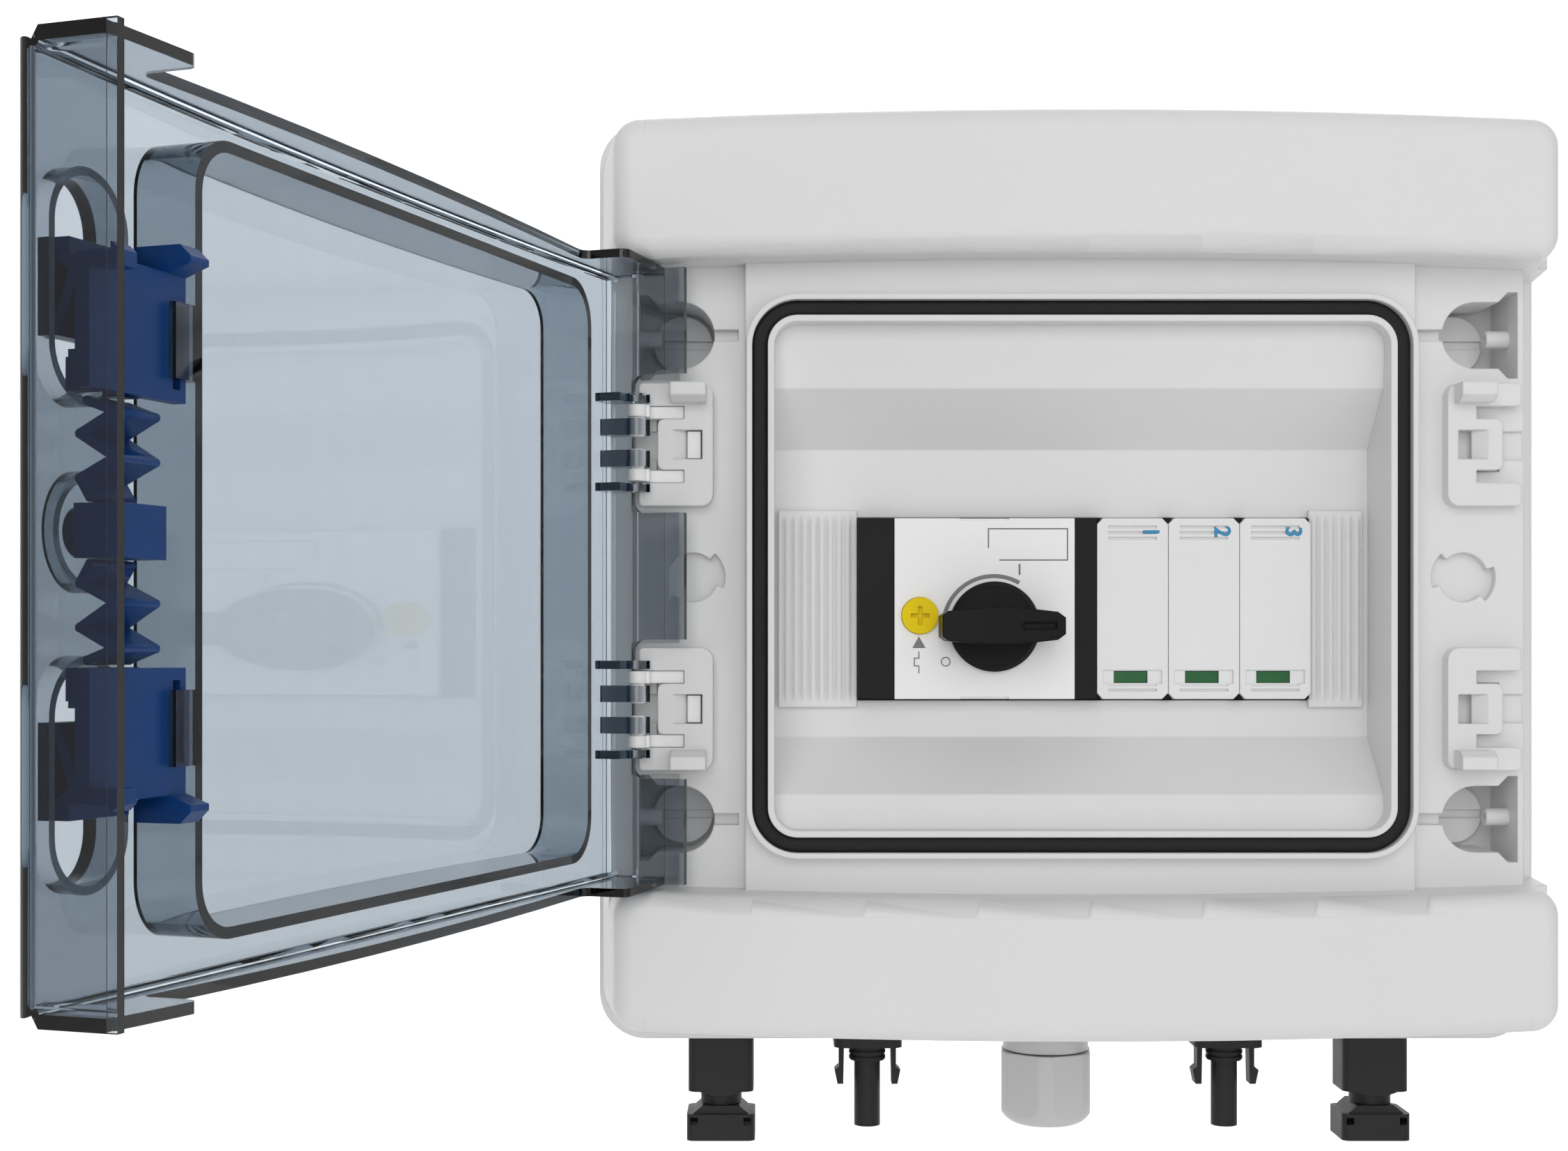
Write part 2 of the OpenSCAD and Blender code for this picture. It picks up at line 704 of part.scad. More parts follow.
// The rounding where the domed front meets the arched top, a band along a tilted arc
module door_edge_cut(inset) {
    z = door_h / 2 - inset;
    fillet = 4 - inset;
    rise = sqrt(dome_rise * dome_rise + zone_rise * zone_rise);
    tilt = atan(zone_rise / dome_rise);
    r = (door_x * door_x + rise * rise) / (2 * rise);
    a = asin((door_x + 3) / r);
    // the arc lies in a plane that leans from the front towards the top
    translate([0, depth(-dome_rise + inset), z + zone_rise]) rotate([-tilt, 0, 0])
        translate([0, r, 0]) rotate([0, 0, -90 - a])
        rotate_extrude(angle = 2 * a, $fn = round_fn) translate([r, 0]) rotate(tilt)
        fine(48) difference() {
            translate([-fillet, -fillet]) square(fillet + 3);
            translate([-fillet + 0.04, -fillet + 0.04]) circle(fillet);
            translate([-fillet - 1, -fillet - 1]) square([fillet + 1, 1.05]);
            translate([-fillet - 1, -fillet - 1]) square([1.05, fillet + 1]);
        }
}

module door_solid(inset, back) {
    difference() {
        intersection() {
            at_depth(-dome_rise - 1, back) door_outline(inset);
            translate([0, front_y, -zone_h]) linear_extrude(2 * zone_h) door_plan(inset, back);
        }
        mirrored_z() door_edge_cut(inset);
    }
}

// Finger opening over a catch
module finger_outline(extra) {
    for (k = [-1, 1]) translate([finger_x, finger_z + k * 9]) circle(8 + extra);
    translate([finger_x - 8 - extra, finger_z - 9]) square([16 + 2 * extra, 18]);
}

module door() {
    tab_x = lip_w / 2 + 0.4;
    wall_in = 84;
    wall_out = 88.5;
    color("lightgray", 0.4) difference() {
        union() {
            difference() {
                door_solid(0, hinge_flange);
                door_solid(door_t, hinge_flange + 1);
                // the top and bottom walls are low in the middle and deep at the sides
                translate([0, front_y, -zone_h]) linear_extrude(2 * zone_h) {
                    translate([-wall_in, low_wall]) square([2 * wall_in, hinge_flange]);
                    for (k = [0, 1]) mirror([k, 0]) {
                        difference() {
                            translate([wall_in - 1, low_wall])
                                square([wall_out - wall_in + 1, deep_wall - low_wall]);
                            translate([wall_in, low_wall + 2.2]) difference() {
                                translate([0, -2.2]) square([2.25, 2.2]);
                                circle(2.2);
                            }
                            translate([wall_in + 2.2, low_wall - 1])
                                square([wall_out - wall_in, deep_wall - low_wall - 1.2]);
                            translate([wall_out - 0.1, deep_wall - 2.2]) circle(2.2);
                        }
                        translate([wall_in - 1, deep_wall])
                            square([door_x - flange_t - wall_in + 1, hinge_flange]);
                    }
                }
                block(door_x - flange_t - 0.5, door_x + 1, free_flange, hinge_flange + 1,
                    -zone_h, zone_h);
                // room for the posts in the hinge flange
                mirrored_z() along_x(-door_x - 1, -door_x + flange_t + 0.5)
                    translate([front_y, 0]) notch_outline();
            }
            // the flanges are thinner than the domed front
            intersection() {
                door_solid(0, free_flange);
                union() {
                    ring_wall();
                    // collars of the finger openings and the ring of the catches' seat
                    mirrored_z() at_depth(-dome_rise, 4.4) finger_outline(1.4);
                    at_depth(-dome_rise, 3.2) translate([core_x, 0]) difference() {
                        circle(9.5);
                        circle(8);
                    }
                    // tabs that keep the catches in
                    mirrored_z() {
                        block(tab_x, 88, 11.6, 12.8, 24.5, 36.6);
                        block(tab_x, tab_x + 1.1, 0.5, 12.8, 24.5, 36.6);
                    }
                }
            }
            knuckles();
        }
        mirrored_z() at_depth(-dome_rise - 1, 7) finger_outline(0);
        translate([hinge_x, hinge_y, -zone_h / 2])
            cylinder(r = pin_r + pin_play, h = zone_h);
        // snap-in mouth of the knuckles
        translate([hinge_x - 1.45, hinge_y, -zone_h / 2 + 20]) cube([2.9, 6, zone_h - 40]);
    }
}

module notch_outline() {
    z = notch_out - notch_in;
    translate([notch_depth, notch_in]) {
        translate([3, 0]) square([20, z]);
        translate([0, 3]) square([20, z - 6]);
        for (k = [3, z - 3]) translate([3, k]) circle(3);
    }
}

module ring_wall() {
    at_depth(-dome_rise, ring_depth) difference() {
        round_rect(ring_w, ring_h, ring_r);
        round_rect(ring_w - 2 * ring_t, ring_h - 2 * ring_t, ring_r - ring_t);
    }
}

// Clips that snap over the pins, and ears beside the arms
module knuckles() {
    mirrored_z() translate([0, 0, post_z]) for (k = [-1, 1]) {
        translate([0, 0, k * 3.8 - 2]) linear_extrude(4) knuckle_outline(7);
        translate([0, 0, k * 10.8 - 1]) linear_extrude(2) knuckle_outline(10);
    }
}

module knuckle_outline(reach) {
    translate([hinge_x, hinge_y]) circle(knuckle_r);
    translate([-door_x + 0.7, depth(1.2)])
        square([reach - 1, pin_depth - 3.2]);
    translate([-door_x + 0.7, depth(1.2)])
        square([door_x + hinge_x + 1.5, pin_depth - 1.2]);
}

// Catch for the upper post: grip in the finger opening, slide, cap and hook
module catch() {
    color("royalblue") difference() {
        union() {
            block(83, 107, 8.8, 11.2, 21, 41.2);
            block(finger_x - 7, finger_x + 7, 1, 6.2, 29.2, 44);
            block(finger_x - 7, finger_x + 7, 6, 9, 25, 41.2);
            along_x(83, 88) translate([front_y, 0])
                polygon([[7, 41], [5.6, 42], [5, 43.2], [5, 45.5], [13.5, 45.5], [15.5, 43.6],
                    [15.5, 42.6], [11.2, 41], [11.2, 38], [8.8, 38]]);
            along_x(loop_x + 0.8, loop_x + 4.6) translate([front_y, 0])
                polygon([[11, 38.8], [16.6, 38.8], [16.6, 41.2], [15.4, 42.3], [15.2, 42.3],
                    [15.2, 41.2], [11, 41.2]]);
            for (x = [finger_x - 6, finger_x + 3])
                block(x, x + 3, 4.8, 8.9, 20.9, 26);
        }
        // open hollow of the grip with its slanting brace
        along_x(finger_x - 8, finger_x + 8) translate([front_y, 0]) {
            polygon([[3, 27], [7.2, 27], [7.2, 36.5]]);
            polygon([[2.6, 28.5], [6.2, 39], [2.6, 41.6]]);
        }
        block(84.5, 86.5, 8, 12, 23, 36);
    }
}

// Flat zigzag spring between a catch and the core
module catch_spring() {
    bends = [[6, 19.8], [10.9, 18], [4.6, 14.8], [10.9, 11], [4.6, 8], [6.4, 5.1]];
    color("royalblue") along_x(core_x - 5, core_x + 5) translate([front_y, 0])
        for (i = [0:len(bends) - 2]) capsule(bends[i], bends[i + 1], 1.4);
}

module catch_core() {
    color("royalblue") {
        block(core_x - 5.5, core_x + 5.5, 4, 12.4, -4.2, 4.2);
        translate([core_x, 0, 0]) bar_y(4, 0.8, 5);
    }
}

// ---- device row ----

// Ribbed blanking piece for a free place in the row
module blank(x0, w) {
    h = nose_h + 4.3;
    ribs = floor((w - 3) / rib_pitch);
    edge = (w - (ribs - 1) * rib_pitch) / 2;
    color(shell_grey) {
        difference() {
            block(x0, x0 + w, plate_depth - 1.5, plate_depth, row_z - h / 2, row_z + h / 2);
            for (i = [0:ribs - 1]) translate([x0 + edge + i * rib_pitch, 0, row_z])
                at_depth(plate_depth - 2, plate_depth - 0.8)
                polygon([[0, -h / 2 + 1.2], [0.6, -h / 2 + 2.4], [0.6, h / 2 - 2.4],
                    [0, h / 2 - 1.2], [-0.6, h / 2 - 2.4], [-0.6, -h / 2 + 2.4]]);
        }
        for (k = [-1, 1]) translate([0, 0, row_z]) mirror([0, 0, k < 0 ? 1 : 0]) {
            block(x0 + w / 2 - 3, x0 + w / 2 + 3, plate_depth - 0.5, plate_depth + 5,
                nose_h / 2 - 1.6, nose_h / 2);
            block(x0 + w / 2 - 3, x0 + w / 2 + 3, plate_depth + plate_t + 0.2,
                plate_depth + plate_t + 1.4, nose_h / 2 - 0.2, nose_h / 2 + 1.1);
        }
    }
}

module din_rail() {
    f = rail_front;
    color("silver") difference() {
        translate([0, 0, row_z]) along_x(-rail_l / 2, rail_l / 2) {
            translate([-f + 6.5, -13.5]) square([1, 27]);
            for (k = [-1, 1]) {
                translate([-f, k > 0 ? 12.5 : -13.5]) square([7.5, 1]);
                translate([-f, k > 0 ? 12.5 : -17.5]) square([1, 5]);
            }
        }
        for (i = [-4:4]) translate([i * rail_fix_x / 4, 0, row_z]) along_y(-f, 0) {
            for (x = [-5, 5]) translate([x, 0]) circle(2.6);
            square([10, 5.2], center = true);
        }
    }
}

module rail_screws() {
    color("silver") for (x = [-1, 1]) translate([x * rail_fix_x, 0, row_z]) {
        difference() {
            along_y(-rail_front + 3.6, -rail_front + 6.45) circle(4.6);
            along_y(-rail_front + 3, -rail_front + 5) square([1.1, 5.4], center = true);
            along_y(-rail_front + 3, -rail_front + 5) square([5.4, 1.1], center = true);
        }
        along_y(-rail_front + 6, -wall - 0.5) circle(2);
    }
}

// Body outline of a rail device seen from the side: shoulders and a narrower nose
module device_side(h, nose_y) {
    translate([0, row_z]) {
        translate([shoulder_y, -h / 2]) square([-rail_front - 0.1 - shoulder_y, h]);
        translate([nose_y, -nose_h / 2]) square([shoulder_y - nose_y + 1, nose_h]);
        // fixed foot that hooks behind the rail's upper edge
        translate([-rail_front - 1, 17.8]) square([4, 5]);
        translate([-rail_front + 1.2, 15.2]) square([1.8, 4]);
    }
}

module switch_body() {
    w = face_w + strip_w;
    color(device_black) difference() {
        union() {
            along_x(switch_x, switch_x + w) device_side(body_h, face_y + 2.1);
            along_x(switch_x + face_w + 0.1, switch_x + w) device_side(body_h, face_y);
        }
        // screwdriver openings in the shoulders and wire entries below them
        for (x = pole_x, k = [-1, 1]) translate([x, 0, row_z + k * (body_h / 2 - 8.5)]) {
            along_y(shoulder_y - 1, shoulder_y + 12) circle(3.6);
            translate([-5, -entry_y - 5, k > 0 ? -2.5 : -6.5]) cube([10, 10, 9]);
        }
        for (x = pole_x, k = [0, 1]) mirror([0, 0, k]) translate([x, -entry_y, 0])
            translate([0, 0, k > 0 ? -row_z + body_h / 2 - 6 : row_z + body_h / 2 - 6])
            cylinder(r = entry_r, h = 8);
        // bearing of the knob, seat of the test button
        translate([knob_x, face_y + 1, knob_z]) rotate([-90, 0, 0])
            cylinder(r = shaft_r + pin_play, h = 16);
        translate([button_x, face_y + 1, button_z]) rotate([-90, 0, 0])
            cylinder(r = button_d / 2 + 0.1, h = 6);
    }
}

module switch_faceplate() {
    color("white") difference() {
        translate([switch_x, face_y, row_z - nose_h / 2]) cube([face_w, 2, nose_h]);
        translate([knob_x, face_y - 1, knob_z]) rotate([-90, 0, 0])
            cylinder(r = shaft_r + pin_play, h = 4);
        translate([button_x, face_y - 1, button_z]) rotate([-90, 0, 0])
            cylinder(r = button_d / 2 + slide_play, h = 4);
        // snap joint round the edge
        for (k = [-1, 1]) translate([switch_x + face_w / 2 - 6, face_y - 1,
            row_z + k * nose_h / 2 - 0.5]) cube([12, 2.2, 1]);
    }
}

// Skirt with a tapered grip bar and its shaft
module switch_knob() {
    color("black") translate([knob_x, 0, knob_z]) {
        along_y(face_y - 2.4, face_y - 0.15) circle(knob_d / 2);
        // bevelled rim of the skirt
        translate([0, face_y - 2.4, 0]) rotate([90, 0, 0])
            cylinder(r1 = knob_d / 2, r2 = knob_d / 2 - 1.3, h = 1.6);
        difference() {
            along_y(face_y - knob_h, face_y - 3.5) knob_bar();
            along_y(face_y - knob_h - 1, face_y - knob_h + 0.8) translate([9.5, 0])
                square([8, 1.6], center = true);
            // the grip is hollowed on both sides
            for (k = [-1, 1]) translate([-16, face_y - knob_h + 6.5, k * 22]) rotate([0, 90, 0])
                cylinder(r = 18, h = 32, $fn = 96);
        }
        along_y(face_y - 1, face_y + 14) circle(shaft_r);
    }
}

module knob_bar() {
    polygon([[-14, -2.6], [-12.6, -3.6], [-2, -4.5], [4, -4.5], [13.8, -3.4], [15.7, -2],
        [15.7, 2], [13.8, 3.4], [4, 4.5], [-2, 4.5], [-12.6, 3.6], [-14, 2.6]]);
}

module test_button() {
    color("gold") translate([button_x, 0, button_z]) difference() {
        along_y(face_y - 1.2, face_y + 4) circle(button_d / 2);
        along_y(face_y - 2, face_y - 0.2) square([4.6, 1], center = true);
        along_y(face_y - 2, face_y - 0.2) square([1, 4.6], center = true);
    }
}

// Sliding foot that locks a device to the rail's lower edge
module rail_clip(x0, w) {
    color("white") {
        block_y = -rail_front;
        translate([x0, block_y + 1.2, row_z - 26]) cube([w, 2, 10.6]);
        translate([x0, block_y + 0.1, row_z - 52]) cube([w, 1.6, 34]);
    }
}

module aux_contact() {
    color(device_black) difference() {
        along_x(row_x, row_x + aux_w) device_side(body_h - 8, face_y);
        for (k = [-1, 1]) translate([row_x + aux_w / 2, 0, row_z + k * (body_h / 2 - 11)]) {
            along_y(shoulder_y - 1, shoulder_y + 10) circle(2.4);
            translate([-2.5, -entry_y - 3, k > 0 ? -2 : -5]) cube([5, 6, 7]);
        }
    }
}

// Chamfered outline of a surge cartridge
module cartridge_outline(w, h, c) {
    polygon([[-w / 2, -h / 2 + c], [-w / 2 + c, -h / 2], [w / 2 - c, -h / 2],
        [w / 2, -h / 2 + c], [w / 2, h / 2 - c], [w / 2 - c, h / 2], [-w / 2 + c, h / 2],
        [-w / 2, h / 2 - c]]);
}

function slot_x(i) = spd_x + (i + 0.5) * cartridge_pitch;

module spd_base() {
    color(device_black) difference() {
        union() {
            along_x(spd_x, spd_x + spd_w) translate([0, row_z]) {
                translate([shoulder_y, -body_h / 2 + 1.5])
                    square([-rail_front - 0.1 - shoulder_y, body_h - 3]);
                translate([-rail_front - 1, 17.8]) square([4, 5]);
                translate([-rail_front + 1.2, 15.2]) square([1.8, 4]);
            }
            along_x(spd_x, spd_x + spd_w) translate([face_y + 2, row_z - nose_h / 2])
                square([shoulder_y - face_y, nose_h]);
        }
        for (i = [0:2]) translate([slot_x(i), 0, row_z]) {
            // upper slot: shape of the cartridge, open above and below
            along_y(face_y, shoulder_y + 0.6) {
                cartridge_outline(cartridge_pitch + 0.002, nose_h + 0.2, chamfer_c - 0.05);
                square([cartridge_w - 2 * chamfer_c, nose_h + 4], center = true);
            }
            along_y(shoulder_y - 1, slot_floor) square([stem_w + 0.3, stem_h + 0.3], center = true);
            for (k = [-1, 1]) translate([0, 0, k * blade_z])
                along_y(slot_floor - 1, slot_floor + 14) square([8, 1.8], center = true);
            for (k = [-1, 1]) translate([0, 0, k * (body_h / 2 - 10)]) {
                along_y(shoulder_y - 1, shoulder_y + 12) circle(3.6);
                translate([-5, -entry_y - 5, k > 0 ? -2.5 : -6.5]) cube([10, 10, 9]);
            }
            for (k = [0, 1]) mirror([0, 0, k]) translate([0, -entry_y, body_h / 2 - 7])
                cylinder(r = entry_r, h = 8);
        }
    }
}

module cartridge(i) {
    color("gainsboro") translate([slot_x(i), 0, row_z]) difference() {
        union() {
            along_y(face_y, shoulder_y + 0.5) cartridge_outline(cartridge_w, nose_h, chamfer_c);
            along_y(shoulder_y - 1, slot_floor - 0.3) square([stem_w, stem_h], center = true);
        }
        // tray at the lower end with the status window
        along_y(face_y - 1, face_y + 0.6) translate([0, window_z]) square([14.6, 3.4], center = true);
        along_y(face_y - 1, face_y + 4) translate([-0.4, window_z]) square([8.4, 3], center = true);
        // finger grooves at both ends
        for (k = [-1, 1]) along_y(face_y - 1, face_y + 0.5)
            for (j = [0:2]) translate([0, k * (nose_h / 2 - 2.2) - k * j * 1.4])
                square([12, 0.6], center = true);
        for (k = [-1, 1]) translate([0, 0, k * blade_z])
            along_y(slot_floor - 5, slot_floor) square([6.1, 1.3], center = true);
    }
}

module status_flag(i) {
    color("limegreen") translate([slot_x(i) - 0.4, 0, row_z + window_z])
        along_y(face_y + 1, face_y + 3.9) square([8.2, 2.8], center = true);
}

module cartridge_blades(i) {
    color("goldenrod") translate([slot_x(i), 0, row_z]) for (k = [-1, 1])
        translate([0, 0, k * blade_z]) along_y(slot_floor - 4.9, slot_floor + 9)
        square([6, 1.2], center = true);
}

// Clamp screws in the shoulders of the isolator and of the arrester base
module terminal_screws() {
    color("silver") {
        for (x = pole_x, k = [-1, 1])
            translate([x, 0, row_z + k * (body_h / 2 - 8.5)]) clamp_screw(3.4);
        for (i = [0:2], k = [-1, 1])
            translate([slot_x(i), 0, row_z + k * (body_h / 2 - 10)]) clamp_screw(3.4);
        for (k = [-1, 1])
            translate([row_x + aux_w / 2, 0, row_z + k * (body_h / 2 - 11)]) clamp_screw(2.2);
    }
}

module clamp_screw(r) {
    difference() {
        along_y(shoulder_y + 5, shoulder_y + 9) circle(r);
        along_y(shoulder_y + 4, shoulder_y + 6.2) square([2 * r + 1, 1], center = true);
    }
}

// ---- connectors in the bottom wall ----

// Panel socket of a plug connector with its flange, neck and locking collar
module pv_socket() {
    color("black") translate([0, -port_y, -base_h / 2]) difference() {
        union() {
            translate([0, 0, -1]) cylinder(r = port_r - 0.1, h = wall + 11);
            translate([0, 0, -2]) linear_extrude(1.97) round_rect(socket_w, socket_w, 3);
            translate([0, 0, -socket_l + 13.2]) linear_extrude(socket_l - 14.5)
                round_rect(socket_w - 0.8, socket_w - 4, 2.5);
            // rounded shoulder above the neck
            intersection() {
                translate([0, 0, -socket_l + 12]) linear_extrude(8)
                    round_rect(socket_w - 0.8, socket_w - 4, 2.5);
                translate([0, 0, -socket_l + 12 + 14]) rotate([90, 0, 0])
                    cylinder(r = 14, h = socket_w, center = true);
            }
            translate([0, 0, -socket_l + 6]) cylinder(d = 11.1, h = 10);
            // locking collar with a bevelled top
            translate([0, 0, -socket_l]) linear_extrude(7.2)
                round_rect(socket_w, socket_w - 3, 2);
            translate([0, 0, -socket_l + 6]) intersection() {
                linear_extrude(3.4) round_rect(socket_w - 2.4, socket_w - 5, 1.5);
                rotate([90, 0, 0]) linear_extrude(socket_w, center = true)
                    polygon([[-9, 0], [9, 0], [5, 3.4], [-5, 3.4]]);
            }
        }
        // mouth for the mating plug and the bore behind it
        translate([0, 0, -socket_l - 1]) cylinder(d = barrel_d + 0.5, h = 22);
        translate([0, 0, -socket_l + 20]) cylinder(r = 2.6, h = 40);
        for (x = [-1, 1]) {
            translate([x * 7.2 - 1.1, -4, -socket_l - 1]) cube([2.2, 8, 6]);
            translate([x * 7.2 - 1, -socket_w, -socket_l + 4.4]) cube([2, 2 * socket_w, 1.9]);
        }
        translate([0, -socket_w / 2 - 1, -1.2]) rotate([-90, 0, 0]) cylinder(r = 3.4, h = 2);
    }
}

// Panel plug: flange, ringed collar, barrel and two latch arms
module pv_plug() {
    color("black") translate([0, -port_y, -base_h / 2]) difference() {
        union() {
            translate([0, 0, -1]) cylinder(r = port_r - 0.1, h = wall + 11);
            translate([0, 0, -8.65]) linear_extrude(8.62) round_rect(socket_w, socket_w - 2, 3);
            translate([0, 0, -13]) cylinder(d = 9.4, h = 5);
            for (k = [0:2]) translate([0, 0, -12.6 + 1.5 * k]) cylinder(d = 10, h = 0.8);
            translate([0, 0, -plug_l]) cylinder(d = barrel_d, h = plug_l);
            for (x = [0, 1]) mirror([x, 0, 0]) translate([0, 2.6, 0]) rotate([90, 0, 0])
                linear_extrude(5.2)
                polygon([[6.4, -8], [7.8, -8], [7.8, -14.6], [9, -15.6], [8.2, -19.4],
                    [6.6, -19.4]]);
        }
        translate([0, 0, -plug_l - 1]) cylinder(r = 2.4, h = plug_l + 20);
    }
}

module pv_contacts() {
    color("silver") {
        for (x = [-socket_x, socket_x]) translate([x, -port_y, -base_h / 2]) {
            translate([0, 0, -socket_l + 6]) cylinder(r = 1.5, h = 22);
            translate([0, 0, -socket_l + 20.5]) cylinder(r = 2.55, h = socket_l - 8);
        }
        for (x = [-plug_x, plug_x]) translate([x, -port_y, -base_h / 2]) difference() {
            translate([0, 0, -plug_l + 2]) cylinder(r = 2.35, h = plug_l + 12);
            translate([0, 0, -plug_l + 1]) cylinder(r = 1.6, h = 20);
        }
    }
}

module pv_seals() {
    color("dimgray") for (x = [-socket_x, -plug_x, plug_x, socket_x])
        translate([x, -port_y, -base_h / 2 + wall + 0.02]) difference() {
            cylinder(r = port_r + 2.5, h = 1.2);
            translate([0, 0, -1]) cylinder(r = port_r - 0.05, h = 4);
        }
}

module pv_locknuts() {
    color("black") for (x = [-socket_x, -plug_x, plug_x, socket_x])
        translate([x, -port_y, -base_h / 2 + wall + 1.25]) difference() {
            cylinder(r = port_r + 3.6, h = 5, $fn = 6);
            translate([0, 0, -1]) cylinder(r = port_r - 0.05, h = 8);
        }
}

module gland_body() {
    color("lightgray") translate([0, -port_y, -base_h / 2]) difference() {
        union() {
            cylinder(r = gland_r - 0.1, h = wall + 8);
            translate([0, 0, -6.2]) cylinder(r = gland_af / sqrt(3), h = 6.2, $fn = 6);
            translate([0, 0, -1.4]) cylinder(r = gland_af / 2 + 1.6, h = 1.4);
            translate([0, 0, -9.9]) cylinder(r = gland_af / 2 - 0.4, h = 5);
            translate([0, 0, -19]) cylinder(r = gland_thread_r, h = 14);
        }
        translate([0, 0, -20]) cylinder(r = 6.6, h = 9);
        translate([0, 0, -21]) cylinder(r = cable_d / 2 + 0.4, h = 40);
    }
}

// Hexagonal dome nut; its hexagon's edges are rounded off towards the dome
module gland_nut() {
    color("lightgray") translate([0, -port_y, -base_h / 2 - nut_end]) difference() {
        intersection() {
            rotate([0, 0, 23]) cylinder(r = gland_af / sqrt(3), h = nut_l, $fn = 6);
            rotate_extrude() {
                square([gland_af / 2 + 0.9, nut_l]);
                translate([0, 7.2]) square([gland_af / 2 + 0.9, 1]);
            }
            union() {
                translate([0, 0, 6]) cylinder(r = gland_af, h = nut_l);
                rotate_extrude() {
                    square([gland_af / 2 - 5.1, 7]);
                    translate([0, 6]) square([gland_af / 2 + 0.9, 1]);
                    intersection() {
                        translate([gland_af / 2 - 5.1, 6]) circle(6);
                        square([gland_af / 2 + 0.9, 7]);
                    }
                }
            }
        }
        translate([0, 0, 4]) cylinder(r = gland_thread_r + 0.08, h = nut_l);
        translate([0, 0, -1]) cylinder(r = cable_d / 2 + 0.4, h = 8);
    }
}

module gland_seal() {
    color("dimgray") translate([0, -port_y, -base_h / 2 - 18.9]) difference() {
        cylinder(r = 6.5, h = 7.7);
        translate([0, 0, -1]) cylinder(r = cable_d / 2, h = 10);
    }
}

module gland_locknut() {
    color("lightgray") translate([0, -port_y, -base_h / 2 + wall + 0.02]) difference() {
        cylinder(r = gland_r + 4, h = 5, $fn = 6);
        translate([0, 0, -1]) cylinder(r = gland_r - 0.05, h = 8);
    }
}

// ---- internal wires ----

// A round wire through a list of points, with ball-shaped bends
module run(points, r) {
    for (i = [0:len(points) - 2]) {
        d = points[i + 1] - points[i];
        translate(points[i]) rotate([0, acos(d[2] / norm(d)), atan2(d[1], d[0])])
            cylinder(r = r, h = norm(d));
    }
    for (i = [1:len(points) - 2]) translate(points[i]) sphere(r + 0.06);
}

module wire_positive_in() {
    color("red") run([[-socket_x, -port_y, wire_start], [-socket_x, -port_y, wire_high],
        [pole_x[0], -port_y, wire_high], [pole_x[0], -entry_y, wire_high],
        [pole_x[0], -entry_y, row_z - body_h / 2 + 5]], wire_r);
}

module wire_negative_in() {
    color("black") run([[socket_x, -port_y, wire_start], [socket_x, -port_y, wire_high],
        [pole_x[1], -port_y, wire_high], [pole_x[1], -entry_y, wire_high],
        [pole_x[1], -entry_y, row_z - body_h / 2 + 5]], wire_r);
}

module wire_positive_out() {
    color("red") run([[-plug_x, -port_y, wire_start], [-plug_x, -port_y, wire_low],
        [-plug_x, -entry_y, wire_low], [slot_x(0), -entry_y, wire_low],
        [slot_x(0), -entry_y, row_z - body_h / 2 + 6]], wire_r);
}

module wire_negative_out() {
    color("black") run([[plug_x, -port_y, wire_start], [plug_x, -port_y, wire_low],
        [slot_x(2), -port_y, wire_low], [slot_x(2), -entry_y, wire_low],
        [slot_x(2), -entry_y, row_z - body_h / 2 + 6]], wire_r);
}

front_cover();
base_shell();
base_seal();
cover_screws();
door_gasket();
hinge_insert();  // hinge_insert_upper
mirror([0, 0, 1]) hinge_insert();  // hinge_insert_lower
opened() door();
opened() catch();  // catch_upper
opened() mirror([0, 0, 1]) catch();  // catch_lower
opened() catch_spring();  // catch_spring_upper
opened() mirror([0, 0, 1]) catch_spring();  // catch_spring_lower
opened() catch_core();
blank(row_x - 0.2 - 19.6, 19.6);  // blank_left
blank(row_end + 0.2, 13.5);  // blank_right
din_rail();
rail_screws();
switch_body();
switch_faceplate();
switch_knob();
test_button();
rail_clip(switch_x + 14, 22);  // switch_clip
aux_contact();
spd_base();
rail_clip(spd_x + 16, 22);  // spd_clip
cartridge(0);  // spd_cartridge_1
cartridge(1);  // spd_cartridge_2
cartridge(2);  // spd_cartridge_3
status_flag(0);  // status_flag_1
status_flag(1);  // status_flag_2
status_flag(2);  // status_flag_3
cartridge_blades(0);  // cartridge_blades_1
cartridge_blades(1);  // cartridge_blades_2
cartridge_blades(2);  // cartridge_blades_3
terminal_screws();
translate([-socket_x, 0, 0]) pv_socket();  // pv_socket_left
translate([socket_x, 0, 0]) pv_socket();  // pv_socket_right
translate([-plug_x, 0, 0]) pv_plug();  // pv_plug_left
translate([plug_x, 0, 0]) pv_plug();  // pv_plug_right
pv_contacts();
pv_seals();
pv_locknuts();
gland_body();
gland_nut();
gland_seal();
gland_locknut();
wire_positive_in();
wire_negative_in();
wire_positive_out();
wire_negative_out();
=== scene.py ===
import json
import math

import bmesh
import bpy
from mathutils import Matrix, Vector


